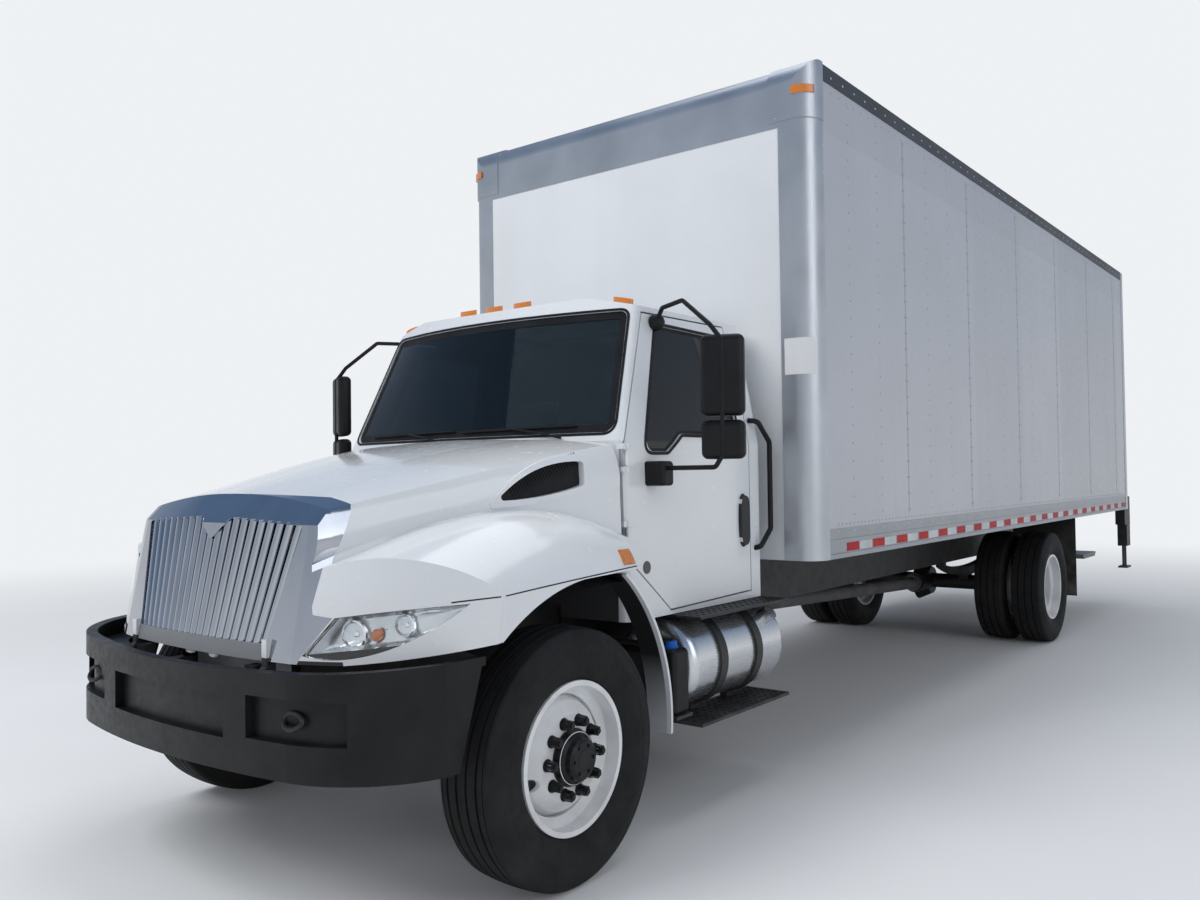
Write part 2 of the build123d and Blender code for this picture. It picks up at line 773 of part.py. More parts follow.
def hinge_pins():
    """The pins through the barrels, with the knuckles above and below that hold them to the cab."""
    x, y = hinge_line()
    pins = None
    for level in door_hinge_levels:
        pin = rod_z(x, y, span(level, door_hinge_height + 60), door_hinge_pin)
        for side in (-1, 1):
            z = span(level + side * (door_hinge_height / 2 + 18), 26)
            pin += rod_z(x, y, z, door_hinge_radius)
            pin += block((x - 40, x), (y - 30, y), z)
        pins = pin if pins is None else pins + pin
    return pins


def door_tabs():
    """Short straps that join the hinge barrels to the door's front edge."""
    x, y = hinge_line()
    tabs = None
    for level in door_hinge_levels:
        tab = block((x - 45, x + 2), (y + 8, y + 44), span(level, door_hinge_height))
        tabs = tab if tabs is None else tabs + tab
    return tabs


# Hood

def bowed(start, end, share):
    """An arc that bulges outwards and upwards from its chord by a share of its length."""
    (x0, z0), (x1, z1) = start, end
    side = 1 if x0 + x1 > 0 else -1
    middle = ((x0 + x1) / 2 + share * side * abs(z0 - z1), (z0 + z1) / 2 + share * abs(x1 - x0))
    return ThreePointArc(start, middle, end)


def hood_section(row, inset):
    """One cross section of the hood: dome, top, flank, fender panel, fender and skirt."""
    y, crown_z, *pairs, shoulder_z = row
    ridge, corner, crease, foot = [(pairs[i] - inset, pairs[i + 1] - inset) for i in (0, 2, 4, 6)]
    side = (hood_side_x - inset, shoulder_z - inset)
    low = 800 - 5 * inset
    edges = ThreePointArc((-ridge[0], ridge[1]), (0, crown_z - inset), ridge)
    for sign in (1, -1):
        run = [(sign * x, z) for x, z in (ridge, corner, crease, foot, side)]
        edges += bowed(run[0], run[1], 0.02) + bowed(run[1], run[2], flank_bow) + Line(run[2], run[3])
        edges += bowed(run[3], run[4], fender_bow) + Line(run[4], (run[4][0], low))
    edges += Line((-side[0], low), (side[0], low))
    return Pos(0, y, 0) * (Plane.XZ * make_face(edges))


def hood_plan(row, inset):
    """The hood's outline from above at one height: bowed nose, swept lamp corners and bowed rear edge."""
    z, centre_y, nose_x, nose_y, lamp_x, lamp_y, end_x, end_y = row
    side_x = hood_side_x + 5 - inset
    rear = inset * 5
    nose = (nose_x - inset / 2, nose_y + inset)
    lamp = (lamp_x - 0.6 * inset, lamp_y + 0.8 * inset)
    end = (end_x - inset, end_y + inset)
    corner = (hood_rear_corner[0], hood_rear_corner[1] + rear)
    edges = ThreePointArc((-nose[0], nose[1]), (0, centre_y + inset), nose)
    for sign in (1, -1):
        edges += ThreePointArc((sign * nose[0], nose[1]), (sign * lamp[0], lamp[1]), (sign * end[0], end[1]))
        side = ((side_x, end[1] + 80), (side_x, fender_rear_y + rear), corner)
        edges += Polyline((sign * end[0], end[1]), *[(sign * x, y) for x, y in side])
    edges += ThreePointArc((-corner[0], corner[1]), (0, hood_rear_centre + rear), corner)
    return Pos(0, 0, z) * make_face(edges)


def hood_volume(inset):
    """The hood's outer form, moved in by an inset."""
    lengthwise = loft([hood_section(row, inset) for row in hood_rows])
    upright = loft([hood_plan(row, inset) for row in plan_rows], ruled=True)
    return lengthwise & upright


def arch_cut():
    """The wheel arch's side outline, through both fenders."""
    left = ThreePointArc(arch_front, arch_rise, arch_crown)
    edges = left + Polyline(arch_crown, arch_rear, (arch_rear[0], 700), (arch_front[0], 700), arch_front)
    return Pos(-1400, 0, 0) * extrude(Plane.YZ * make_face(edges), 2800)


def bumper_curve(inset):
    """The bumper's outer face from above, moved in by an inset."""
    shoulder = (bumper_shoulder[0] - inset * 0.15, bumper_shoulder[1] + inset)
    corner = (bumper_corner[0] - inset * 0.7, bumper_corner[1] + inset * 0.7)
    cheek = (bumper_cheek[0] - inset, bumper_cheek[1] + inset * 0.2)
    end = (bumper_end[0] - inset, bumper_end[1])
    edges = ThreePointArc((-shoulder[0], shoulder[1]), (0, -bumper_reach + inset), shoulder)
    for sign in (1, -1):
        points = [(sign * x, y) for x, y in (shoulder, corner, cheek, end)]
        edges += ThreePointArc(*points[:3]) + Line(*points[2:])
    return edges + Line((-end[0], end[1]), (end[0], end[1]))


def bumper_inner_y(x):
    """The y of the bumper's inner face near its middle, at one x."""
    drop = -bumper_shoulder[1] - bumper_reach
    return -bumper_reach + bumper_wall - drop * (x / bumper_shoulder[0]) ** 2


def front_bumper():
    """The moulded bumper that wraps round to the wheel arches, with pockets for lamps and tow eyes."""
    plate = Pos(0, 0, bumper_bottom) * extrude(make_face(bumper_curve(0)), bumper_end_top - bumper_bottom)
    room = Pos(0, 0, bumper_bottom - 1) * extrude(make_face(bumper_curve(bumper_wall)), body_top)
    shell = plate - room
    ends = (-body_half, bumper_end_top), (body_half, bumper_end_top)
    crest = ThreePointArc(ends[0], (0, bumper_top), ends[1])
    crest += Polyline(ends[1], (body_half, body_top), (-body_half, body_top), ends[0])
    shell -= extrude(Plane.XZ * make_face(crest), 2000)
    shell -= block((-body_half, body_half), (bumper_end[1] - 1, bumper_end[1] + 200), (0, body_top))
    heel_top = bumper_top + 1
    heel = ((-560, bumper_bottom - 1), (bumper_end[1] - 20, heel_top), (0, heel_top), (0, bumper_bottom - 1))
    shell -= prism_x(heel, (-body_half, body_half))
    front = Pos(0, 0, bumper_bottom - 1) * extrude(make_face(bumper_curve(bumper_pocket)), body_top)
    for low_x, high_x, low_z, high_z in bumper_recesses:
        shell -= block((low_x, high_x), (-1200, -700), (low_z, high_z)) - front
    band = make_face(bumper_curve(bumper_wall - 5)) - make_face(bumper_curve(bumper_shelf))
    shelf = Pos(0, 0, shelf_z) * extrude(band, shelf_thickness)
    for side in (-1, 1):
        x = sorted((side * shelf_x, side * body_half))
        shell += shelf & block(x, (-bumper_reach, bumper_end[1] - 60), (0, body_top))
    return shell


def nose_y(x, z):
    """The y of the hood's nose between its corners, at one x and z."""
    low, high = plan_rows[0], plan_rows[1]
    share = (z - low[0]) / (high[0] - low[0])
    centre_y, corner_x, corner_y = [a + (b - a) * share for a, b in zip(low[1:4], high[1:4])]
    return centre_y + (corner_y - centre_y) * (x / corner_x) ** 2


def surround_face():
    """The chrome surround's outline, as seen from the front."""
    edges = ThreePointArc((-surround_corner[0][0], surround_corner[0][1]), surround_top, surround_corner[0])
    for sign in (1, -1):
        corner = [(sign * x, z) for x, z in surround_corner]
        edges += ThreePointArc(*corner) + Polyline(corner[2], *[(sign * x, z) for x, z in surround_side])
    low_x, low_z = surround_side[-1]
    return Plane.XZ * make_face(edges + Line((-low_x, low_z), (low_x, low_z)))


def opening_face(gap):
    """The grille opening, with a notch under the middle of its top edge, grown by a gap."""
    right = [*opening_top, opening_low]
    left = [(-x, z) for x, z in reversed(right[1:])]
    face = make_face(Polyline(*right, *left, close=True))
    face = fillet(face.vertices(), opening_corner)
    return Plane.XZ * (offset(face, gap) if gap else face)


def lamp_face():
    """The left headlamp's outline, as seen from the front."""
    edges = ThreePointArc(lamp_inner[1], lamp_low, lamp_tip)
    edges += ThreePointArc(lamp_tip, lamp_top, lamp_inner[0]) + Line(*lamp_inner)
    return Plane.XZ * make_face(edges)


def vent_prism(outline):
    """A vent outline with a bowed top and bottom, through the hood's left flank."""
    tip, upper, rear_top, rear_low, lower = outline
    edges = ThreePointArc(tip, upper, rear_top) + Line(rear_top, rear_low)
    face = make_face(edges + ThreePointArc(rear_low, lower, tip))
    return Pos(700, 0, 0) * extrude(Plane.YZ * fillet(face.vertices(), vent_corner), 500)


def grille_rods():
    """The leaning bars of the grille, evenly spaced along the top and the bottom of its opening."""
    rods = None
    top_x, top_z = opening_top[2]
    low_x, low_z = opening_low
    for index in range(grille_bars):
        share = (2 * index + 1) / grille_bars - 1
        ends = []
        for half_x, z in ((low_x, low_z - grille_bar_radius), (top_x, opening_top[1][1] + grille_bar_radius)):
            x = share * half_x
            ends.append((x, nose_y(x, z) + grille_bar_radius + seat_gap + 4, z))
        rod = rod_between(*ends, grille_bar_radius)
        rods = rod if rods is None else rods + rod
    return rods


def hood_parts():
    """The hood with its fenders, the chrome surround with its bars, and the lamps in the hood."""
    outer = hood_volume(0)
    nose_reach = 1300
    surround = extrude(surround_face(), nose_reach)
    behind = (*surround_rear, (-300, surround_rear[-1][1]), (-300, surround_rear[0][1]))
    across = (-body_half, body_half)
    surround -= prism_x(behind, across) + block(across, (-500, 0), (0, body_top))
    opening = extrude(opening_face(0), nose_reach)
    lamps = both_sides(extrude(lamp_face(), nose_reach))
    rise_end = (800, hood_bottom_rise[1][1])
    floor = ((-nose_reach, hood_bottom), *hood_bottom_rise, rise_end, (800, 0), (-nose_reach, 0))
    floor_cut = prism_x(floor, across)

    layer = outer - hood_volume(surround_thickness)
    hood = outer - hood_volume(hood_wall) - floor_cut - arch_cut()
    hood = hood - (layer & surround) - extrude(opening_face(bar_seat + seat_gap), nose_reach) - lamps
    rim = (hood_volume(-vent_rim) - hood_volume(surround_thickness)) & vent_prism(vent_frame)
    hood = hood + both_sides(rim) - both_sides(vent_prism(vent_hole))
    lug_z = (hood_hinge_z, 1024)
    for side in (-1, 1):
        x = span(side * (rail_half_gauge + 45), 30)
        lug = rod_x(x, hood_hinge_y, hood_hinge_z, hood_hinge_pin + 16)
        lug += block(x, (hood_hinge_y - 12, hood_hinge_y + 28), lug_z)
        lug -= rod_x((x[0] - 1, x[1] + 1), hood_hinge_y, hood_hinge_z, hood_hinge_pin + seat_gap)
        hood += lug - layer

    chrome = ((outer - hood_volume(surround_thickness - seat_gap) - floor_cut) & surround) - opening
    chrome += grille_rods() & extrude(opening_face(bar_seat), nose_reach)
    lens = (hood_volume(2) - hood_volume(16)) & lamps
    marker = (hood_volume(-fender_lamp_height) - hood_volume(-seat_gap)) & block((1000, 1250), *fender_lamp)
    return hood, chrome, [lens, marker, other_side(marker)]


# Cab interior

def dashboard():
    """The dashboard across the cab, against the cowl."""
    return prism_x(dash_outline, (-dash_half, dash_half)) & cab_volume(cab_wall + seat_gap)


def steering_wheel(dash):
    """The steering wheel on its column, which ends at the dashboard."""
    place = Pos(*wheel_place) * Rot(-wheel_lean, 0, 0)
    wheel = Torus(wheel_ring_radius, wheel_ring_thickness) + Cylinder(52, 34)
    for angle in (90, 210, 330):
        wheel += Rot(0, 0, angle) * Pos(wheel_ring_radius / 2, 0, 0) * Box(wheel_ring_radius, 26, 12)
    column = Pos(0, 0, -190) * Cylinder(28, 380)
    return place * (wheel + column) - dash


def seat():
    """The left seat on its pedestal."""
    pedestal = block(span(seat_x, pedestal_width), (1160, 1560), (cab_floor_top, 1340))
    return pedestal + prism_x(seat_cushion, span(seat_x, seat_width))


# Side gear

def ring_y(x, y, z, inner, outer):
    """A ring round an axis along the truck."""
    return rod_y(x, y, z, outer) - rod_y(x, (y[0] - 1, y[1] + 1), z, inner)


def fuel_tank():
    """The left fuel tank, with rounded ends and a filler cap."""
    tank = rod_y(tank_x, tank_y, tank_z, tank_radius)
    tank = fillet(tank.edges().filter_by(GeomType.CIRCLE), tank_end_radius)
    lean = Vector(cos(radians(filler_lean)), 0, sin(radians(filler_lean)))
    middle = Vector(tank_x, (strap_places[1] + tank_y[1]) / 2, tank_z)
    ends = [tuple(middle + lean * (tank_radius + reach)) for reach in (-15, 55)]
    return tank + rod_between(*ends, 42)


def tank_brackets():
    """The tank's straps with their brackets and two steps, and the shelf of the small tank."""
    inner = tank_radius + seat_gap
    outer = inner + strap_thickness
    steps = block(top_step_x, (tank_y[0] + 10, tank_y[1] - 40), top_step_z)
    steps += block(low_step_x, (tank_y[0] + 10, tank_y[1] - 40), low_step_z)
    for y in strap_places:
        width = span(y, strap_width)
        bracket = block((rail_half_gauge, tank_x - inner + 30), width, (rail_bottom - 30, rail_bottom + 180))
        hanger_z = (low_step_z[1] - 5, tank_z - inner + 20)
        bracket += block((low_step_x[0] + 10, low_step_x[0] + 50), width, hanger_z)
        steps += ring_y(tank_x, width, tank_z, inner, outer) + bracket - rod_y(tank_x, tank_y, tank_z, inner)
    x, y, z = small_tank
    low = z[0] - shelf_thickness
    shelf = block((rail_half_gauge, x[1] + 10), y, (low, z[0]))
    shelf += block((rail_half_gauge, rail_half_gauge + shelf_thickness), y, (low, rail_top - 60))
    return steps, shelf


def battery_box():
    """The right battery box with its bracket, a top step and a low step."""
    box = block(battery_x, battery_y, battery_z)
    bracket_y = (battery_y[0] + 80, battery_y[1] - 80)
    box += block((battery_x[1] - 1, -rail_half_gauge), bracket_y, (rail_bottom - 20, rail_bottom + 140))
    box += block((battery_x[0] - 30, battery_x[1]), battery_y, (battery_z[1], battery_z[1] + 14))
    for y in (battery_y[0] + 60, battery_y[1] - 60):
        box += block((battery_x[0] - 10, battery_x[0] + 20), span(y, 40), (low_step_z[0], battery_z[0] + 40))
    return box + block((battery_x[0] - 40, battery_x[0] + 220), battery_y, low_step_z)


def exhaust():
    """The muffler on the right, its inlet pipe from the engine, its tailpipe and its hangers."""
    y0, y1 = muffler_y
    x, z = muffler_x, muffler_z
    engine_rear = engine_block[1][1] + seat_gap
    inlet = ((-285, engine_rear, 650), (-285, 1360, 650), (x, 1560, z), (x, y0 + 5, z))
    tail = ((x, y1 - 5, z), (x, y1 + 500, z), (-1150, y1 + 700, z - 60))
    system = rod_y(x, muffler_y, z, muffler_radius)
    system += tube(inlet, exhaust_pipe_radius, 100) + tube(tail, exhaust_pipe_radius, 150)
    for y in (y0 + 200, y1 - 200):
        system += rod_y(x, span(y, 50), z, muffler_radius + 8)
        system += block((x, -rail_half_gauge), span(y, 50), (rail_bottom - 30, rail_bottom + 90))
    return system


def splash_guard():
    """The left strip behind the front wheel, on a stay from the rail."""
    outer = ThreePointArc(*guard_arc)
    inner = ThreePointArc(*[(y - guard_thickness, z - 4) for y, z in reversed(guard_arc)])
    edges = outer + Line(outer @ 1, inner @ 0) + inner + Line(inner @ 1, outer @ 0)
    strip = Pos(guard_x[0], 0, 0) * extrude(Plane.YZ * make_face(edges), guard_x[1] - guard_x[0])
    return strip + rod_x((rail_half_gauge, guard_x[0] + 20), guard_arc[1][0] + 42, rail_bottom + 100, 12)


def mud_flap():
    """The left flap behind the rear wheels, on the rear face of the cross sill above it."""
    sill = min(y for y in cross_sill_places() if y > wheelbase + tyre_radius + 200)
    face = sill + cross_sill_width / 2 + seat_gap
    return block(flap_x, (face, face + flap_thickness), (flap_bottom, floor_bottom - 20))


def rounded(x, y, z, radius):
    """A box with every edge rounded."""
    shape = block(x, y, z)
    return fillet(shape.edges(), radius)


def mirror_assembly():
    """The left mirror: base and ball on the door, a bent tube, and a tall and a short head."""
    skin = cab_volume(0) & block((700, 1100), (650, 1100), (1400, 2500))
    ball = Pos(*mirror_tube[0]) * Sphere(mirror_ball_radius)
    piece = tube(mirror_tube, mirror_tube_radius, 28) + (ball + rounded(*mirror_base, 18)) - skin
    x, y, _ = mirror_tube[4]
    for level in mirror_head_levels:
        head = rounded(span(0, mirror_head_width), mirror_head_depth, level, 30)
        piece += Pos(x, y, 0) * Rot(0, 0, mirror_turn) * head
    return piece


def grab_handle():
    """The left grab handle, from the cab's side round its rear corner."""
    corner = cab_volume(0) & block((900, 1100), (1650, 1900), (1100, 2000))
    return tube(handle_tube, handle_radius, 28) - corner


def pull_handle():
    """The left door's upright pull handle, standing a little off the door's skin."""
    y, z = door_handle
    middle = sum(y) / 2
    slot = SlotOverall(z[1] - z[0], y[1] - y[0])
    plate = Pos(900, middle, sum(z) / 2) * extrude(Plane.YZ * (Rot(0, 0, 90) * slot), 200)
    return plate & (cab_volume(-18) - cab_volume(3))


# Lamps

def lamps():
    """Roof, corner, fender and rear lamps, each on the face that carries it."""
    pieces = []
    cap = cab_volume(-roof_lamp_height) - cab_volume(0)
    for x, y in roof_lamps:
        oval = Pos(x, y, 2300) * extrude(Ellipse(*roof_lamp_half), 400)
        pieces.append(oval & cap)
    x, z = cap_lamp
    middle = (body_half + cap_proud - corner_radius, body_setback - cap_proud + corner_radius)
    lamp = rod_z(*middle, z, corner_radius + cap_lamp_height) - rod_z(*middle, z, corner_radius + seat_gap)
    lamp &= block(x, (body_setback - 50, body_setback + 60), z)
    pieces += [lamp, other_side(lamp)]
    for x in rear_lamps_high:
        pieces.append(block(span(x, 90), (body_rear, body_rear + 16), span(body_top - 60, 34)))
    for x in rear_lamps_low:
        pieces.append(rod_y(x, (body_rear, body_rear + 18), side_rail_bottom + 55, rear_lamp_radius))
    return pieces


# Liftgate

def liftgate_frame():
    """The bed plate, the dock posts with their feet, and the hangers with the pivot tube."""
    r = body_rear + seat_gap
    end = body_rear + guard_reach
    frame = block((-dock_post_x[1], dock_post_x[1]), (r, r + bed_plate_depth), (floor_top - 32, floor_top))
    hanger_x = (rail_half_gauge + seat_gap, rail_half_gauge + 20)
    low = gate_pivot_z - 45
    front = gate_pivot_y - 100
    under = floor_top - 31
    outline = (
        (front, rail_top - 10), (front, 850), (gate_pivot_y - 45, low), (gate_pivot_y + 45, low),
        (gate_pivot_y + 320, 800), (r + 40, 800), (r + 40, under), (r, under), (r, rail_top - 10),
    )
    foot_y = (end - 200, end)
    for side in (-1, 1):
        x = sorted(side * value for value in dock_post_x)
        frame += block(x, (r, end), (dock_post_bottom + 250, floor_top))
        frame += block(x, (end - 190, end - 10), (dock_post_bottom, floor_top))
        frame += block(x, foot_y, dock_foot_z)
        for y in (end - 150, end - 50):
            frame += rod_z(sum(x) / 2, y, (dock_foot_z[0] + 5, dock_post_bottom + 5), 14)
        frame += prism_x(outline, sorted(side * value for value in hanger_x))
    tube_half = gate_arm_x[1] + 30
    return frame + rod_x((-tube_half, tube_half), gate_pivot_y, gate_pivot_z, gate_pivot_radius)


def liftgate_arms():
    """The pair of lifting arms, joined by a torsion tube and by the platform's hinge pin."""
    pivot = (gate_pivot_y, gate_pivot_z)
    hinge = (gate_hinge_y, gate_hinge_z)
    half = gate_arm_height / 2
    outline = [(y, z - half) for y, z in (pivot, hinge)] + [(y, z + half) for y, z in (hinge, pivot)]
    middle = (pivot[0] + hinge[0]) / 2, (pivot[1] + hinge[1]) / 2
    arms = rod_x((-gate_arm_x[1], gate_arm_x[1]), middle[0], middle[1], 26)
    for side in (-1, 1):
        x = sorted(side * value for value in gate_arm_x)
        arms += prism_x(outline, x) + rod_x(x, *pivot, gate_pivot_radius + 20) + rod_x(x, *hinge, half)
        arms -= rod_x((x[0] - 1, x[1] + 1), *pivot, gate_pivot_radius + seat_gap)
    pin_half = platform_lug_x[1] + 6
    return arms + rod_x((-pin_half, pin_half), *hinge, gate_pin_radius)


def liftgate_platform():
    """The folded platform, hinged on the arms' pin and lying forward under them."""
    x = (-platform_half, platform_half)
    platform = None
    for run, rise in (platform_main, platform_flip):
        layer = block(x, [gate_hinge_y + value for value in run], [gate_hinge_z + value for value in rise])
        platform = layer if platform is None else platform + layer
    for side in (-1, 1):
        lug_x = sorted(side * value for value in platform_lug_x)
        platform += rod_x(lug_x, gate_hinge_y, gate_hinge_z, gate_pin_radius + 14)
        platform += block(lug_x, (gate_hinge_y - 80, gate_hinge_y - 5), (gate_hinge_z - 50, gate_hinge_z - 5))
        bore_x = (lug_x[0] - 1, lug_x[1] + 1)
        platform -= rod_x(bore_x, gate_hinge_y, gate_hinge_z, gate_pin_radius + seat_gap)
    return platform


# Every sub-part

def write_chassis():
    """Rails, running gear and wheels."""
    rail = frame_rail()
    save("frame_rails", rail, other_side(rail))
    save("crossmembers", *crossmembers())
    save("front_bumper", front_bumper())
    save("engine", block(*engine_block))
    save("radiator", block((-radiator_half, radiator_half), radiator_y, (rail_bottom, radiator_top)))
    save("driveline", driveline())
    save("front_axle", front_axle())
    save("rear_axle", rear_axle())
    springs = [leaf_spring(0, front_spring_seat, 620, 700, 60)]
    springs.append(leaf_spring(wheelbase, rear_spring_seat, 700, 705, 90))
    save("leaf_springs", *springs, *[other_side(spring) for spring in springs])
    left = knuckle()
    save("knuckle_left", left)
    save("knuckle_right", other_side(left))
    wheel = Pos(front_wheel_x, 0, axle_height) * front_wheel()
    save("wheel_front_left", wheel)
    save("wheel_front_right", other_side(wheel))
    ring = Pos(front_wheel_x, 0, axle_height) * tyre(0)
    save("tyre_front_left", ring)
    save("tyre_front_right", other_side(ring))
    pair = Pos(rear_wheel_x, wheelbase, axle_height) * rear_wheel()
    save("wheels_rear_left", pair)
    save("wheels_rear_right", other_side(pair))
    rings = [Pos(rear_wheel_x, wheelbase, axle_height) * tyre(side * dual_spacing / 2) for side in (-1, 1)]
    save("tyres_rear_left", *rings)
    save("tyres_rear_right", *[other_side(ring) for ring in rings])


def write_load_box():
    """Floor, walls, roof, corner posts, rear frame and the curtain door."""
    save("box_sills", *box_sills())
    inner = body_half - side_rail_width
    floor_y = (body_setback + wall_thickness, body_rear - rear_frame_depth)
    save("box_floor", block((-inner, inner), floor_y, (floor_bottom, floor_top)))
    front_x = body_half - corner_post_front
    front_y = (body_setback + 4, body_setback + wall_thickness)
    front_z = (side_rail_bottom, body_top - top_rail_height)
    save("box_front_wall", block((-front_x, front_x), front_y, front_z))
    wall = box_side()
    save("box_wall_left", wall)
    save("box_wall_right", other_side(wall))
    save("box_roof", box_roof())
    save("front_corner_frame", corner_posts())
    save("bottom_rails", *bottom_rails())
    save("rear_frame", rear_frame())
    save("roll_up_door", roll_up_door())


def write_cab():
    """The cab's shell, glass, doors, interior, mirrors and handles."""
    across = (-1500, 1500)
    along = (0, 3000)
    room = cab_volume(cab_wall)
    shell = cab_volume(0) - (room & block(across, along, (cab_floor_top, 3000)))
    shell -= room & block(across, along, (0, cab_floor_bottom))
    shell -= block((-skirt_gap_half, skirt_gap_half), along, (0, cab_floor_bottom))
    screen = windscreen_prism()
    frame = shell - both_sides(side_cut(door_outline, door_gap)) - screen
    below = block(across, along, (0, cab_floor_top))
    rearward = block(across, (rear_post_line, 3000), (0, 3000))
    upper = block(across, along, (windscreen_bottom - 10, 3000))
    save("cab_floor", (frame & below) - rearward)
    save("cab_back", frame & rearward)
    save("cab_top", (frame & upper) - rearward)
    cowl = frame - below - rearward - upper
    save("cab_cowl", cowl - both_sides(door_barrels(4)) + both_sides(hinge_pins()))
    glass = cab_volume(glass_depth) - cab_volume(glass_depth + glass_thickness)
    save("windscreen", glass & screen)

    side = side_cut(door_outline, 0)
    door = (shell & side) - window_prism() + door_barrels(0) + door_tabs() + pull_handle()
    x, y = hinge_line()
    for level in door_hinge_levels:
        door -= rod_z(x, y, span(level, 2 * door_hinge_height), door_hinge_pin + seat_gap)
    pane = glass & window_prism() & side
    mirrors = mirror_assembly()
    save("door_left", door)
    save("door_right", other_side(door))
    save("door_glass_left", pane)
    save("door_glass_right", other_side(pane))
    save("mirror_left", mirrors)
    save("mirror_right", other_side(mirrors))
    handle = grab_handle()
    save("grab_handles", handle, other_side(handle))

    dash = dashboard()
    save("dashboard", dash)
    save("steering_wheel", steering_wheel(dash))
    left = seat()
    save("seats", left, other_side(left))


def write_hood():
    """The tilting hood and what it carries."""
    hood, chrome, lens = hood_parts()
    save("hood", hood)
    save("grille", chrome)
    save("headlamps", *lens)


def write_side_gear():
    """Tanks, steps, battery box, exhaust, guards and lamps."""
    save("fuel_tank", fuel_tank())
    save("tank_brackets", *tank_brackets())
    x, y, z = small_tank
    save("small_tank", rounded(x, y, z, 25) + rod_z(x[1] - 90, sum(y) / 2, (z[1] - 5, z[1] + 35), 35))
    save("battery_box", battery_box())
    save("exhaust", exhaust())
    guard = splash_guard()
    save("splash_guards", guard, other_side(guard))
    flap = mud_flap()
    save("mud_flaps", flap, other_side(flap))
    save("lamps", *lamps())


def write_liftgate():
    """The folded liftgate and its dock posts."""
    save("liftgate_frame", liftgate_frame())
    save("liftgate_arms", liftgate_arms())
    save("liftgate_platform", liftgate_platform())


write_chassis()
write_load_box()
write_cab()
write_hood()
write_side_gear()
write_liftgate()
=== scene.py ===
from math import cos, pi, radians, sin, tan

import bmesh
import bpy
from mathutils import Matrix, Vector
from mathutils.bvhtree import BVHTree


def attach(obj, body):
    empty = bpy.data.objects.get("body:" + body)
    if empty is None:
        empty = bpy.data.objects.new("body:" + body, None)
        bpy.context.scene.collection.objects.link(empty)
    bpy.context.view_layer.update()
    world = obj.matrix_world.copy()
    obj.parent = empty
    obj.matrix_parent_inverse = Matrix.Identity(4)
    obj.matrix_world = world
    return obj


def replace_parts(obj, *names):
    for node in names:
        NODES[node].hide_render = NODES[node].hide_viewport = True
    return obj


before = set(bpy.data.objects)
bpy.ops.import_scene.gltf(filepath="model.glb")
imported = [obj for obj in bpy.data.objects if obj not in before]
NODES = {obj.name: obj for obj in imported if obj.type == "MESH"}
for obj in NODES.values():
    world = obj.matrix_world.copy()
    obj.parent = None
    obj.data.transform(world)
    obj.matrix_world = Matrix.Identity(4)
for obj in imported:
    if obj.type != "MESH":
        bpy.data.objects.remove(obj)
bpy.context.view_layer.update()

# The truck's nose points to -Y and its left side to +X. Places along the truck are counted from the front axle,
# and the front axle stands at this y in the truck's own frame.
AXLE_Y = -4.525
SIDES = ("left", "right")

# Sizes that the solids have, in metres
WHEELBASE = 6.910
AXLE_Z = 0.505
TYRE_RADIUS = 0.505
FRONT_WHEEL_X = 1.065
REAR_WHEEL_X = 0.915
DUAL_SPACING = 0.330
SHEET_WIDTH = 1.219
MIRROR_TUBE = (1.380, 0.800)
MIRROR_TURN = radians(24)
MIRROR_PANES = ((2.0425, 0.1665), (1.755, 0.073))
MIRROR_REAR = (0.0736, 0.080)
MIRROR_HALF = 0.084
CURTAIN_LOW, CURTAIN_HIGH, SLATS = 1.2633, 3.5997, 9

# Painted shade in the cab: its walls lean in, its screen leans back and bows, and both end at the back wall and the
# roof
WALL_FOOT, WALL_LEAN, WALL_MOST = 1.146, 0.124, 0.950
SCREEN_LEAN, SCREEN_BOW, SCREEN_BEHIND = 0.34, 0.19, 0.025
CAB_BACK, CAB_TOP = 1.752, 2.44
LUG_AHEAD, LUG_TOP = 0.80, 0.958
PULL_Y, PULL_Z, PULL_HALF_LONG, PULL_HALF_HIGH, PULL_CORNERS, PULL_OUT = 1.600, 1.355, 0.046, 0.140, 2.6, 0.9

# Where a finish turns into another, as a first and a last measure in metres
# Where the painted shade starts on the roof's side strips
ROOF_SHADE_EDGE = (1.2900, 1.2906)
CAP_JOINT = (3.478, 3.482)
# Where the painted shade starts on the splash guards' inner face, and where it grows darker upwards
GUARD_SHADE_EDGE = (1.128, 1.124)
GUARD_SHADE_RISE = (0.50, 0.80)
BAND_TOP = (1.004, 1.002)
BAND_SIDE = (0.495, 0.493)
REAR_LAMPS = (3.0, 3.1)

# Directions of rays and of standing pieces, and places clear of the truck that rays start from
RIGHTWARDS, REARWARDS, FORWARDS = (-1, 0, 0), (0, 1, 0), (0, -1, 0)
LEFTWARDS, UPWARDS = (1, 0, 0), (0, 0, 1)
CLEAR_LEFT, CLEAR_FRONT, CLEAR_REAR = 1.8, -1.5, 11.5


def at(x, y, z):
    """A place counted from the front axle, in the truck's own frame."""
    return Vector((x, y + AXLE_Y, z))


def angles(count):
    """Even steps once round a circle."""
    return [2 * pi * index / count for index in range(count)]


# Node trees

def reckoned(operation, swapped=False):
    """A method that adds one arithmetic node."""
    def method(self, other=0.0):
        pair = (other, self) if swapped else (self, other)
        return self.work.value("ShaderNodeMath", *pair, operation=operation)
    return method


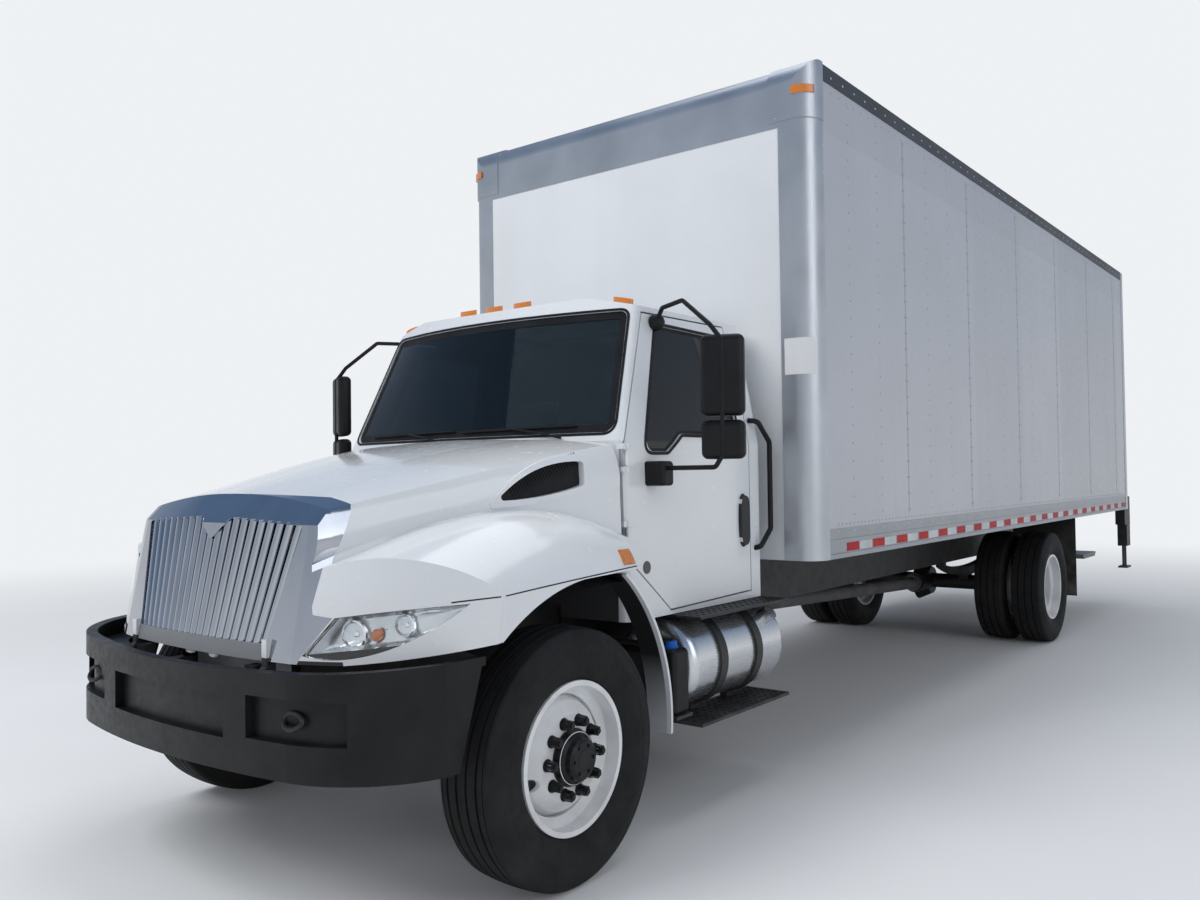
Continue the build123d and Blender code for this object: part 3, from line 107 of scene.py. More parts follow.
class Value:
    """One output of a node, with the arithmetic that further nodes do on it."""

    def __init__(self, work, socket):
        self.work, self.socket = work, socket

    __add__ = __radd__ = reckoned("ADD")
    __mul__ = __rmul__ = reckoned("MULTIPLY")
    __sub__, __rsub__ = reckoned("SUBTRACT"), reckoned("SUBTRACT", True)
    __truediv__, __rtruediv__ = reckoned("DIVIDE"), reckoned("DIVIDE", True)
    __lt__, __gt__ = reckoned("LESS_THAN"), reckoned("GREATER_THAN")
    __pow__, __abs__ = reckoned("POWER"), reckoned("ABSOLUTE")
    least, most, floor = reckoned("MINIMUM"), reckoned("MAXIMUM"), reckoned("FLOOR")


class Wiring:
    """A node tree while it is being built."""

    def __init__(self, tree):
        self.tree = tree

    def put(self, node, inputs):
        """Set a node's inputs, or link them where a value is another node's output."""
        for key, value in inputs:
            socket = node.inputs[key.replace("_", " ") if isinstance(key, str) else key]
            if isinstance(value, Value):
                self.tree.links.new(value.socket, socket)
            elif value is not None:
                short_colour = socket.type == "RGBA" and len(value) == 3
                socket.default_value = (*value, 1.0) if short_colour else value

    def add(self, kind, *values, **named):
        """A node of one kind. Names in small letters are its settings, the others and plain values its inputs."""
        node = self.tree.nodes.new(kind)
        for name in named:
            if name[0].islower():
                setattr(node, name, named[name])
        self.put(node, enumerate(values))
        self.put(node, [(name, value) for name, value in named.items() if name[0].isupper()])
        return node

    def value(self, kind, *values, output=0, **named):
        """One output of a new node."""
        return Value(self, self.add(kind, *values, **named).outputs[output])

    def values(self, kind, **named):
        """All outputs of a new node, by name."""
        return {socket.name: Value(self, socket) for socket in self.add(kind, **named).outputs}

    def noise(self, scale, stretch=None, detail=3.0):
        """Noise on object coordinates, stretched along the axes."""
        place = self.value("ShaderNodeMapping", self.place, Scale=stretch) if stretch else self.place
        return self.value("ShaderNodeTexNoise", Vector=place, Scale=scale, Detail=detail, output="Fac")

    def cloud(self):
        """Soft patches."""
        return self.ramp(self.noise(5.0, detail=5.0), 0.3, 0.75)

    def ramp(self, value, low, high, to_low=0.0, to_high=1.0, **settings):
        """A value spread from one range to another, and held at its ends."""
        return self.value("ShaderNodeMapRange", value, low, high, to_low, to_high, **settings)

    def mix(self, factor, first, second):
        """One colour turning into another."""
        return self.value("ShaderNodeMix", factor, *[None] * 5, first, second, data_type="RGBA", output=2)

    def axis(self, letter):
        """One object coordinate."""
        return self.value("ShaderNodeSeparateXYZ", self.place, output=letter)

    def bump(self, height, strength, distance, **below):
        """A bump on the surface normal."""
        return self.value("ShaderNodeBump", Strength=strength, Distance=distance, Height=height, **below)

    def group(self, name, **inputs):
        """The outputs of one of the shared effects, with its own values."""
        return self.values("ShaderNodeGroup", node_tree=bpy.data.node_groups[name], Place=self.place, **inputs)


finishes = {}


class Shade(Wiring):
    """One node material while it is being built."""

    def __init__(self, name):
        self.name, self.material = name, bpy.data.materials.new(name)
        self.material.use_nodes = True
        super().__init__(self.material.node_tree)
        self.surface = self.tree.nodes["Principled BSDF"]
        self.place = self.value("ShaderNodeTexCoord", output="Object")

    def finish(self, **inputs):
        """Set the surface's own inputs and keep the material under its name."""
        self.put(self.surface, inputs.items())
        finishes[self.name] = self.material

    def dusted(self, colour, roughness, amount, height, **inputs):
        """Finish the surface with road dust up to a height over its colour."""
        dusty = self.group("road_dust", Colour=colour, Roughness=roughness, Amount=amount, Height=height)
        self.finish(Base_Color=dusty["Colour"], Roughness=dusty["Roughness"], **inputs)


def open_tree(sort, name, inputs, outputs):
    """An empty node group with (label, kind, value) sockets, and what its inputs give."""
    tree = bpy.data.node_groups.new(name, sort)
    for way, sockets in (("INPUT", inputs), ("OUTPUT", outputs)):
        for label, kind, *value in sockets:
            socket = tree.interface.new_socket(label, in_out=way, socket_type="NodeSocket" + kind)
            if value:
                socket.default_value = value[0]
    work = Wiring(tree)
    given = work.values("NodeGroupInput")
    work.last = work.add("NodeGroupOutput")
    work.place = given.get("Place")
    return work, given


def effect(name, inputs, outputs):
    """An empty group for an effect that several materials share."""
    return open_tree("ShaderNodeTree", name, (("Place", "Vector"), *inputs), outputs)


def road_dust_group():
    """Dust that thickens towards the ground, as a changed colour and roughness."""
    work, given = effect(
        "road_dust",
        (("Colour", "Color", (1, 1, 1, 1)), ("Roughness", "Float", 0.4), ("Amount", "Float", 0.4),
         ("Dust colour", "Color", (0.30, 0.27, 0.23, 1)), ("Height", "Float", 1.0)),
        (("Colour", "Color"), ("Roughness", "Float")))
    fade = work.ramp(work.axis("Z"), 0.0, given["Height"], 1.0, 0.0)
    share = fade * work.ramp(work.noise(7.0, detail=6.0), 0.35, 0.7) * given["Amount"]
    colour = work.mix(share, given["Colour"], given["Dust colour"])
    rough = work.value("ShaderNodeMix", share, None, given["Roughness"], 0.85)
    work.put(work.last, (("Colour", colour), ("Roughness", rough)))


def fine_grain_group():
    """The pebble of moulded plastic or rubber, as a height."""
    work, given = effect("fine_grain", (("Size", "Float", 0.002),), (("Height", "Float"),))
    cells = work.value("ShaderNodeTexVoronoi", feature="SMOOTH_F1", Vector=work.place, Scale=1.0 / given["Size"],
                       Smoothness=0.5, output="Distance")
    work.put(work.last, (("Height", cells),))


def rain_streaks_group():
    """Faint upright streaks and scuffs on a standing sheet, as a mask."""
    work, given = effect("rain_streaks", (("Fineness", "Float", 6.0),), (("Mask", "Float"),))
    wash = work.noise(given["Fineness"], (1.0, 1.0, 0.05), detail=5.0)
    work.put(work.last, (("Mask", work.ramp(wash, 0.48, 0.78)),))


def cab_inside_group():
    """A mask, 1 for painted shade inside and under the cab and on the lugs under the hood's nose, and on the doors'
    black pulls.
    """
    work, _ = effect("cab_inside", (), (("Mask", "Float"),))
    x, y, z = abs(work.axis("X")), work.axis("Y"), work.axis("Z")
    wall = (WALL_FOOT - z * WALL_LEAN).least(WALL_MOST)
    screen = z * SCREEN_LEAN + x * x * SCREEN_BOW
    within = (x < wall) * (y < AXLE_Y + CAB_BACK)
    inside = (y - screen > AXLE_Y - SCREEN_BEHIND) * within * (z < CAB_TOP)
    nose = (y < AXLE_Y - LUG_AHEAD) * (z < LUG_TOP)
    along = abs((y - (AXLE_Y + PULL_Y)) / PULL_HALF_LONG) ** PULL_CORNERS
    upward = abs((z - PULL_Z) / PULL_HALF_HIGH) ** PULL_CORNERS
    pull = (along + upward < 1.0) * (x > PULL_OUT)
    work.put(work.last, (("Mask", inside.most(nose).most(pull)),))


road_dust_group()
fine_grain_group()
rain_streaks_group()
cab_inside_group()


# Finishes

WHITE = (0.80, 0.82, 0.84)
STREAK_GREY = (0.45, 0.44, 0.42)
# Painted shade inside and under the cab and under the hood's nose, and also the doors' own black pulls
CAB_SHADE_AND_PULL_DARK = (0.035, 0.035, 0.038)
SHEET_DARK = (0.36, 0.38, 0.42)
# Painted shade on the roof's side strips
STRIP_SHADE = (0.10, 0.105, 0.115)
FINE_GRAIN = 0.0016
COARSE_GRAIN = 0.003
PLASTIC_GLOSS = 0.22


def tinted(colour, share, lift=0.0):
    """A colour made darker or lighter."""
    return tuple(min(1.0, share * channel + lift) for channel in colour)


def painted(name, colour, roughness, coat, dust, height, sheet=0.0, streaks=0.0, cab=False):
    """Gloss paint with faint unevenness, streaks where it stands upright, and dust low down."""
    shade = Shade(name)
    base = shade.mix(shade.ramp(shade.noise(1.3), 0.3, 0.7), tinted(colour, 0.93), colour)
    if streaks:
        base = shade.mix(shade.group("rain_streaks")["Mask"] * streaks, base, STREAK_GREY)
    worn = shade.ramp(shade.noise(22.0), 0.3, 0.8, roughness - 0.05, roughness + 0.08)
    # Painted shade inside and under the cab and on the lugs under the hood's nose; the doors' pulls get their own
    # black
    if cab:
        inside = shade.group("cab_inside")["Mask"]
        base = shade.mix(inside, base, CAB_SHADE_AND_PULL_DARK)
        worn = worn.most(inside * 0.7)
        coat = (1.0 - inside) * coat
    peel = shade.bump(shade.noise(260.0, detail=1.0), 0.05, 0.0004)
    if sheet:
        number = (shade.axis("Y") / SHEET_WIDTH).floor()
        tone = shade.value("ShaderNodeTexWhiteNoise", noise_dimensions="1D", W=number, output="Value")
        base = shade.mix(shade.ramp(tone, 0.0, 1.0, 0.0, 0.40), base, SHEET_DARK)
        base = shade.mix(shade.ramp(shade.axis("Z"), *CAP_JOINT, 0.0, 0.22), base, SHEET_DARK)
        peel = shade.bump(shade.noise(2.2, (0.4, 1.0, 0.25), detail=1.0), sheet, 0.02, Normal=peel)
    shade.dusted(base, worn, dust, height, Coat_Weight=coat, Coat_Roughness=0.08, Normal=peel)


def moulded(name, colour, roughness, dust, height, grain=FINE_GRAIN):
    """Grained plastic or rubber."""
    shade = Shade(name)
    base = shade.mix(shade.cloud(), colour, tinted(colour, 1.5, 0.006))
    worn = shade.ramp(shade.noise(30.0), 0.3, 0.8, roughness - 0.08, roughness + 0.08)
    pebble = shade.group("fine_grain", Size=grain)["Height"]
    shade.dusted(base, worn, dust, height, Specular_IOR_Level=PLASTIC_GLOSS,
                 Normal=shade.bump(pebble, 0.25, 0.0004))


def brushed(name, colour, roughness, direction, dust=0.15, height=1.2, shaded_rail=False):
    """Brushed metal, with its lines along one axis, and painted shade on a strip along the box's upper side edges."""
    shade = Shade(name)
    lines = shade.noise(420.0, tuple(0.02 if letter == direction else 1 for letter in "xyz"), detail=2.0)
    cloud = shade.noise(3.0, detail=5.0)
    base = shade.mix(shade.ramp(cloud, 0.3, 0.75), tinted(colour, 0.8), colour)
    # Painted shade on the strips along the box's upper side edges
    if shaded_rail:
        base = shade.mix(shade.ramp(abs(shade.axis("X")), *ROOF_SHADE_EDGE), base, STRIP_SHADE)
    worn = shade.ramp(lines, 0.3, 0.7, roughness - 0.08, roughness + 0.1) + shade.ramp(cloud, 0.4, 0.8, 0.0, 0.12)
    shade.dusted(base, worn, dust, height, Metallic=0.92, Normal=shade.bump(lines, 0.08, 0.0003))


def polished(name, colour, roughness):
    """Bright plating with faint smears."""
    shade = Shade(name)
    smear = shade.noise(9.0, (1, 1, 0.4), detail=6.0)
    shade.finish(Base_Color=shade.mix(shade.ramp(smear, 0.4, 0.8), colour, tinted(colour, 0.88)),
                 Roughness=shade.ramp(smear, 0.35, 0.8, roughness, roughness + 0.1), Metallic=1.0)


def mirror_heads(name):
    """Black plastic mirror heads, whose rear faces carry the panes."""
    shade = Shade(name)
    out = abs(shade.axis("X")) - MIRROR_TUBE[0]
    back = shade.axis("Y") - (AXLE_Y + MIRROR_TUBE[1])
    depth = back * cos(MIRROR_TURN) - out * sin(MIRROR_TURN)
    across = out * cos(MIRROR_TURN) + back * sin(MIRROR_TURN)
    tall, short = [abs(shade.axis("Z") - middle) < half for middle, half in MIRROR_PANES]
    face = (depth > MIRROR_REAR[0]) * (depth < MIRROR_REAR[1]) * (abs(across) < MIRROR_HALF)
    pane = face * tall.most(short)
    cover = 1.0 - pane
    tint = shade.mix(shade.cloud(), (0.007, 0.007, 0.008), (0.014, 0.014, 0.015))
    grain = cover * shade.group("fine_grain", Size=FINE_GRAIN)["Height"]
    shade.finish(Base_Color=shade.mix(pane, tint, (0.62, 0.66, 0.70)), Metallic=pane,
                 Roughness=cover * shade.ramp(shade.noise(30.0), 0.3, 0.8, 0.34, 0.48) + 0.02,
                 Specular_IOR_Level=PLASTIC_GLOSS, Normal=shade.bump(grain, 0.25, 0.0004))


def guards(name):
    """White splash guards with a white outer lip, and painted shade on the face towards the wheel, darkest high up."""
    shade = Shade(name)
    # Painted shade on the inner face inside the wheel arch, grey low down and near black higher up
    inner = shade.ramp(abs(shade.axis("X")), *GUARD_SHADE_EDGE)
    high = shade.ramp(shade.axis("Z"), *GUARD_SHADE_RISE)
    base = shade.mix(shade.cloud(), (0.72, 0.74, 0.76), WHITE)
    base = shade.mix(inner * 0.45, base, (0.30, 0.31, 0.32))
    shade.dusted(shade.mix(inner * high, base, (0.010, 0.010, 0.011)), 0.45, 0.2, 0.9, Specular_IOR_Level=0.3)


def barred_chrome(name):
    """The grille's plating, with the matte band under its bars."""
    shade = Shade(name)
    smear = shade.noise(9.0, (1, 1, 0.4), detail=6.0)
    band = shade.ramp(shade.axis("Z"), *BAND_TOP) * shade.ramp(abs(shade.axis("X")), *BAND_SIDE)
    base = shade.mix(shade.ramp(smear, 0.4, 0.8), (0.42, 0.44, 0.48), (0.36, 0.38, 0.42))
    shade.finish(Base_Color=shade.mix(band, base, (0.20, 0.21, 0.22)), Metallic=1.0 - band,
                 Roughness=shade.ramp(smear, 0.35, 0.8, 0.05, 0.12) + band * 0.4)


def clear(name, colour, roughness):
    """Glass or a clear cover with faint dust."""
    shade = Shade(name)
    film = shade.noise(14.0, detail=6.0)
    shade.finish(Base_Color=shade.mix(shade.ramp(film, 0.45, 0.8, 0.0, 0.25), colour, tinted(colour, 0.8, 0.05)),
                 Roughness=shade.ramp(film, 0.4, 0.8, roughness, roughness + 0.03), Transmission_Weight=1.0, IOR=1.45)


def lamp_plastic(name, colour, behind=None):
    """Coloured lamp plastic with a prism pattern under a smooth face, in another colour at the truck's rear."""
    shade = Shade(name)
    rings = shade.value("ShaderNodeTexWave", Vector=shade.place, Scale=160.0, output="Fac")
    base = shade.mix(rings, tinted(colour, 0.55), colour)
    if behind:
        rear = shade.mix(rings, tinted(behind, 0.55), behind)
        base = shade.mix(shade.ramp(shade.axis("Y"), *REAR_LAMPS), base, rear)
    shade.finish(Base_Color=base, Roughness=shade.ramp(rings, 0.0, 1.0, 0.18, 0.28), Coat_Weight=0.8,
                 Coat_Roughness=0.04, Normal=shade.bump(rings, 0.2, 0.0006))


def woven(name, colour):
    """Seat cloth: two crossing thread directions."""
    shade = Shade(name)
    warp, weft = [shade.value("ShaderNodeTexWave", bands_direction=letter, Vector=shade.place, Scale=240.0,
                              Distortion=1.5, output="Fac") for letter in "XZ"]
    weave = warp * weft
    shade.finish(Base_Color=shade.mix(weave, tinted(colour, 0.6), colour), Sheen_Weight=0.3,
                 Roughness=shade.ramp(weave, 0, 1, 0.8, 0.95), Normal=shade.bump(weave, 0.4, 0.0006))


def planked(name):
    """The load floor's hardwood strips."""
    shade = Shade(name)
    grain = shade.noise(60.0, (1, 0.04, 1), detail=6.0)
    wave = shade.value("ShaderNodeTexWave", Vector=shade.place, Scale=12.0, output="Fac")
    base = shade.mix(shade.ramp(grain, 0.3, 0.7), (0.20, 0.13, 0.07), (0.42, 0.30, 0.18))
    shade.finish(Base_Color=shade.mix(shade.ramp(wave, 0.0, 0.04, 0.7, 0.0), base, (0.07, 0.05, 0.03)),
                 Roughness=shade.ramp(grain, 0.3, 0.7, 0.5, 0.75), Normal=shade.bump(grain, 0.15, 0.0006))


painted("cab_white", WHITE, 0.22, 0.7, 0.25, 1.1, cab=True)
painted("front_wall_white", WHITE, 0.34, 0.12, 0.15, 1.3, streaks=0.05)
# The side sheets' grey is partly their own colour and partly painted shade, as the box's side stands in shade
painted("side_sheet", (0.50, 0.52, 0.565), 0.36, 0.12, 0.25, 1.5, sheet=0.12, streaks=0.16)
painted("curtain_white", (0.72, 0.73, 0.74), 0.4, 0.0, 0.35, 1.6, streaks=0.12)
painted("wheel_white", (0.84, 0.85, 0.86), 0.3, 0.3, 0.5, 1.3)
painted("chassis_black", (0.010, 0.010, 0.011), 0.5, 0.0, 0.22, 1.2)
# Painted shade: the wall rivets are darker than the sheet they stand on
painted("rivet_pale", (0.27, 0.285, 0.32), 0.35, 0.1, 0.2, 1.5)
painted("sheet_lap", (0.38, 0.40, 0.44), 0.36, 0.1, 0.2, 1.5)
painted("rivet_white", WHITE, 0.3, 0.3, 0.1, 1.3)
painted("sticker", (0.80, 0.81, 0.82), 0.45, 0.0, 0.05, 1.0)
moulded("bumper_black", (0.007, 0.007, 0.008), 0.42, 0.02, 0.8)
moulded("flap_rubber", (0.02, 0.02, 0.02), 0.8, 0.6, 1.2, COARSE_GRAIN)
moulded("trim_dark", (0.045, 0.045, 0.05), 0.6, 0.0, 0.5)
moulded("cast_grey", (0.10, 0.10, 0.105), 0.55, 0.5, 1.3, 0.004)
moulded("tyre_rubber", (0.007, 0.007, 0.0075), 0.72, 0.05, 1.0, COARSE_GRAIN)
moulded("nut_black", (0.007, 0.007, 0.008), 0.36, 0.05, 1.0, COARSE_GRAIN)
moulded("shadow_black", (0.005, 0.005, 0.006), 0.8, 0.0, 0.5)
moulded("vent_black", (0.008, 0.008, 0.009), 0.6, 0.0, 0.5)
moulded("arch_black", (0.010, 0.010, 0.011), 0.75, 0.2, 1.0, 0.004)
moulded("seal_rubber", (0.010, 0.010, 0.011), 0.55, 0.0, 0.5, 0.001)
moulded("tape_red", (0.36, 0.006, 0.010), 0.5, 0.05, 1.0)
moulded("tape_white", (0.50, 0.51, 0.53), 0.5, 0.05, 1.0)
moulded("step_black", (0.008, 0.008, 0.009), 0.5, 0.1, 1.0)
moulded("cap_blue", (0.010, 0.10, 0.42), 0.4, 0.0, 0.5)
brushed("corner_aluminium", (0.56, 0.58, 0.61), 0.38, "z")
brushed("rail_aluminium", (0.42, 0.44, 0.47), 0.40, "y", 0.4, 1.6)
brushed("tank_aluminium", (0.72, 0.73, 0.75), 0.22, "y", 0.1, 0.8)
brushed("roof_sheet", (0.60, 0.61, 0.63), 0.5, "y", shaded_rail=True)
brushed("gate_steel", (0.30, 0.30, 0.31), 0.5, "x", 0.5, 1.5)
brushed("rivet_bright", (0.62, 0.64, 0.68), 0.34, "z")
polished("lamp_silver", (0.72, 0.74, 0.76), 0.22)
polished("lamp_mirror", (0.88, 0.89, 0.90), 0.05)
mirror_heads("mirror_black")
guards("guard_white")
barred_chrome("bright_chrome")
clear("cab_glass", (0.05, 0.07, 0.08), 0.01)
clear("lamp_cover", (0.92, 0.94, 0.96), 0.02)
lamp_plastic("amber_lamp", (0.90, 0.26, 0.01), (0.50, 0.01, 0.015))
lamp_plastic("amber_glow", (0.90, 0.22, 0.01))
woven("seat_cloth", (0.05, 0.05, 0.055))
planked("floor_wood")

# Which finish each solid shows
solid_finish = {
    "cab_white": ("cab_floor", "cab_back", "cab_top", "cab_cowl", "door_left", "door_right", "hood"),
    "front_wall_white": ("box_front_wall",),
    "side_sheet": ("box_wall_left", "box_wall_right"),
    "curtain_white": ("roll_up_door",),
    "wheel_white": ("wheel_front_left", "wheel_front_right", "wheels_rear_left", "wheels_rear_right"),
    "chassis_black": ("frame_rails", "crossmembers", "front_axle", "rear_axle", "leaf_springs", "box_sills",
                      "tank_brackets", "liftgate_frame", "liftgate_arms"),
    "bumper_black": ("front_bumper", "small_tank", "battery_box"),
    "mirror_black": ("mirror_left", "mirror_right", "grab_handles"),
    "guard_white": ("splash_guards",),
    "flap_rubber": ("mud_flaps", "tyre_front_left", "tyre_front_right", "tyres_rear_left", "tyres_rear_right"),
    "trim_dark": ("dashboard", "steering_wheel"),
    "corner_aluminium": ("front_corner_frame", "rear_frame"),
    "rail_aluminium": ("bottom_rails",),
    "tank_aluminium": ("fuel_tank",),
    "roof_sheet": ("box_roof", "radiator"),
    "gate_steel": ("liftgate_platform", "exhaust"),
    "bright_chrome": ("grille",),
    "cab_glass": ("windscreen", "door_glass_left", "door_glass_right"),
    "lamp_cover": ("headlamps",),
    "amber_lamp": ("lamps",),
    "seat_cloth": ("seats",),
    "floor_wood": ("box_floor",),
    "cast_grey": ("engine", "driveline", "knuckle_left", "knuckle_right"),
}
for finish, names in solid_finish.items():
    for node in names:
        mesh = NODES[node].data
        mesh.materials.clear()
        mesh.materials.append(finishes[finish])


# Pieces

SHARP = 35.0
DOUBLES = 1e-6
HEAD_SUNK = 0.0004


def softened(mesh, sharp=SHARP):
    """The mesh shaded smooth except along edges sharper than an angle."""
    mesh.shade_smooth()
    mesh.set_sharp_from_angle(angle=radians(sharp))
    return mesh


def mesh_of(points, faces, sharp=SHARP):
    """A mesh from points and faces, with its doubles merged and its faces outwards."""
    mesh = bpy.data.meshes.new("piece")
    mesh.from_pydata([tuple(point) for point in points], [], faces)
    mesh.validate()
    work = bmesh.new()
    work.from_mesh(mesh)
    bmesh.ops.remove_doubles(work, verts=work.verts, dist=DOUBLES)
    bmesh.ops.recalc_face_normals(work, faces=work.faces)
    work.to_mesh(mesh)
    work.free()
    return softened(mesh, sharp)


def lattice(rows, around=False, across=False, capped=False, sharp=SHARP):
    """A sheet through rows of places, closed round the rows or across each of them, with its end rows capped."""
    count, width = len(rows), len(rows[0])
    faces = []
    for row in range(count if around else count - 1):
        here, there = row * width, (row + 1) % count * width
        for column in range(width if across else width - 1):
            after = (column + 1) % width
            faces.append((here + column, here + after, there + after, there + column))
    if capped:
        faces += [tuple(range(width)), tuple(range((count - 1) * width, count * width))]
    return mesh_of([place for row in rows for place in row], faces, sharp)


def joined(*meshes):
    """Several meshes as one."""
    work = bmesh.new()
    for mesh in meshes:
        work.from_mesh(mesh)
    result = bpy.data.meshes.new("piece")
    work.to_mesh(result)
    work.free()
    return softened(result)


def flipped(mesh):
    """The same mesh on the truck's right side."""
    copy = mesh.copy()
    for vertex in copy.vertices:
        vertex.co.x = -vertex.co.x
    copy.flip_normals()
    return copy


def in_scene(name, data):
    """An object that the scene shows."""
    holder = bpy.data.objects.new(name, data)
    bpy.context.scene.collection.objects.link(holder)
    return holder


def plain_mesh(holder):
    """The mesh that an object's modifiers make, with the object taken away."""
    graph = bpy.context.evaluated_depsgraph_get()
    result = bpy.data.meshes.new_from_object(holder.evaluated_get(graph))
    bpy.data.objects.remove(holder)
    return result


def place_piece(name, mesh, finish, body):
    """A finished piece, with its place in its mesh, that rides on one body."""
    mesh.name = name
    mesh.materials.clear()
    mesh.materials.append(finishes[finish])
    holder = in_scene(name, mesh)
    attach(holder, body)
    return holder


def both(name, mesh, finish, body):
    """A piece on the truck's left with its mirror image on the right, on one body."""
    return place_piece(name, joined(mesh, flipped(mesh)), finish, body)


def on_sides(name, mesh, finish, body):
    """A piece for the truck's left and its mirror image for the right, each on its own side's body."""
    return [place_piece(name.format(side), shape, finish, body.format(side))
            for side, shape in zip(SIDES, (mesh, flipped(mesh)))]


def ring(profile, centre, steps, closed=True):
    """A ring about an axle along X, from (offset, radius) points; offsets grow outwards on the left side."""
    x, y, z = centre
    rows = [[(x + offset, y + radius * cos(a), z + radius * sin(a)) for offset, radius in profile]
            for a in angles(steps)]
    return lattice(rows, around=True, across=closed)


def swept(path, outs, section, closed=False):
    """A section of (sideways, outwards) points swept along a path, with the outward direction at each place."""
    rows = []
    for index, (point, out) in enumerate(zip(path, outs)):
        before = path[index - 1] if index or closed else point
        after = path[(index + 1) % len(path)] if index < len(path) - 1 or closed else point
        along = (Vector(after) - Vector(before)).normalized()
        out = Vector(out).normalized()
        side = along.cross(out).normalized()
        rows.append([Vector(point) + side * across + out * height for across, height in section])
    return lattice(rows, around=closed, across=True, capped=not closed)


def tube(path, radius, closed=False, sides=8):
    """A round bar along a path."""
    outs = []
    for index, point in enumerate(path):
        along = Vector(path[(index + 1) % len(path)] if closed or index < len(path) - 1 else point)
        along = (along - Vector(path[index - 1] if index or closed else point)).normalized()
        across = Vector((0, 1, 0)) if abs(along.y) < 0.9 else Vector((0, 0, 1))
        outs.append(along.cross(across))
    return swept(path, outs, [(radius * cos(a), radius * sin(a)) for a in angles(sides)], closed)


def smooth_line(points, steps):
    """Points evenly spaced along a smooth curve through the given points."""
    knots = [Vector(point) for point in points]
    padded = [2 * knots[0] - knots[1], *knots, 2 * knots[-1] - knots[-2]]
    result = []
    for index in range(len(knots) - 1):
        a, b, c, d = padded[index:index + 4]
        for step in range(steps):
            t = step / steps
            result.append(0.5 * (2 * b + (c - a) * t + (2 * a - 5 * b + 4 * c - d) * t ** 2
                                 + (3 * b - a - 3 * c + d) * t ** 3))
    return [*result, knots[-1]]


def rounded_loop(corners, radius, steps=8):
    """A closed outline in a plane with its corners rounded, as (u, v) points."""
    outline = []
    total = len(corners)
    for index in range(total):
        before, here, after = [Vector(corners[(index + shift) % total]) for shift in (-1, 0, 1)]
        one, two = (before - here).normalized(), (after - here).normalized()
        reach = min(radius / tan(one.angle(two) / 2), 0.45 * (before - here).length, 0.45 * (after - here).length)
        start, end = here + one * reach, here + two * reach
        for step in range(steps + 1):
            t = step / steps
            outline.append(start * (1 - t) ** 2 + here * 2 * t * (1 - t) + end * t ** 2)
    return outline


def filled_out(outline, longest):
    """A closed outline with points added so that no step is longer than a length."""
    result = []
    for index, point in enumerate(outline):
        after = outline[(index + 1) % len(outline)]
        pieces = max(1, int((after - point).length / longest))
        result += [point.lerp(after, step / pieces) for step in range(pieces)]
    return result


class Skin:
    """The outside of some solids, found by rays."""

    def __init__(self, *nodes):
        points, faces = [], []
        for node in nodes:
            mesh = NODES[node].data
            start = len(points)
            points += [vertex.co.copy() for vertex in mesh.vertices]
            faces += [[start + index for index in polygon.vertices] for polygon in mesh.polygons]
        self.tree = BVHTree.FromPolygons(points, faces)

    def meet(self, start, direction):
        """Where a ray meets the solids, and which way the surface faces there."""
        place, normal, _, _ = self.tree.ray_cast(Vector(start), Vector(direction).normalized())
        if place is None:
            return None, None
        return place, -normal if normal.dot(Vector(direction)) > 0 else normal

    def spots(self, places, direction, along=UPWARDS):
        """Spots for heads on the skin, sunk by a hair."""
        found = [self.meet(place, direction) for place in places]
        return [(met - normal * HEAD_SUNK, normal, along) for met, normal in found if met is not None]


def strip_on(skin, path, direction, width, height):
    """A narrow raised strip that lies on a skin, along places that rays look for."""
    found = [pair for pair in (skin.meet(place, direction) for place in path) if pair[0] is not None]
    half = width / 2
    return swept([place for place, _ in found], [normal for _, normal in found],
                 [(-half, -0.001), (half, -0.001), (half, height), (-half, height)])


def band_on(skin, loop, start_of, direction, near, far, proud):
    """A flat band beside a closed outline on a skin, from one distance to another towards its middle."""
    middle = sum(loop, Vector((0, 0))) / len(loop)
    rows, latest = [], None
    for index, point in enumerate(loop):
        along = (loop[(index + 1) % len(loop)] - loop[index - 1]).normalized()
        inward = Vector((-along.y, along.x))
        if inward.dot(middle - point) < 0:
            inward = -inward
        row = []
        for share, lift in ((near, 0.0), (near, proud), (far, proud), (far, 0.0)):
            met, normal = skin.meet(start_of(point + inward * share), direction)
            latest = (met, normal) if met is not None else latest
            row.append(latest[0] + latest[1] * lift)
        rows.append(row)
    return lattice(rows, around=True, across=True)


# Repeated shapes, as Geometry Nodes trees

def spread_tree(name, sockets, shape_of):
    """A tree that sets one shape on every point, turned to the point's own directions."""
    work, given = open_tree("GeometryNodeTree", name, (("Geometry", "Geometry"), *sockets, ("Finish", "Material")),
                            (("Geometry", "Geometry"),))
    facing, along = [work.value("GeometryNodeInputNamedAttribute", label, data_type="FLOAT_VECTOR",
                                output="Attribute") for label in ("facing", "along")]
    turn = work.value("FunctionNodeAxesToRotation", facing, along, primary_axis="Z", secondary_axis="X")
    shapes = work.value("GeometryNodeInstanceOnPoints", Points=given["Geometry"], Instance=shape_of(work, given),
                        Rotation=turn)
    real = work.value("GeometryNodeRealizeInstances", shapes)
    finish = work.value("GeometryNodeSetMaterial", Geometry=real, Material=given["Finish"])
    work.put(work.last, (("Geometry", finish),))
    return work.tree


def stud_shape(work, given):
    """A tapered head, such as a rivet, nut or screw, standing on its point."""
    return work.value("GeometryNodeMeshCone", Vertices=given["Sides"], Radius_Bottom=given["Radius"],
                      Radius_Top=given["Radius"] * given["Taper"], Depth=given["Height"], output="Mesh")


def bar_shape(work, given):
    """A rectangular block centred on its point."""
    return work.value("GeometryNodeMeshCube", Size=given["Size"], output="Mesh")


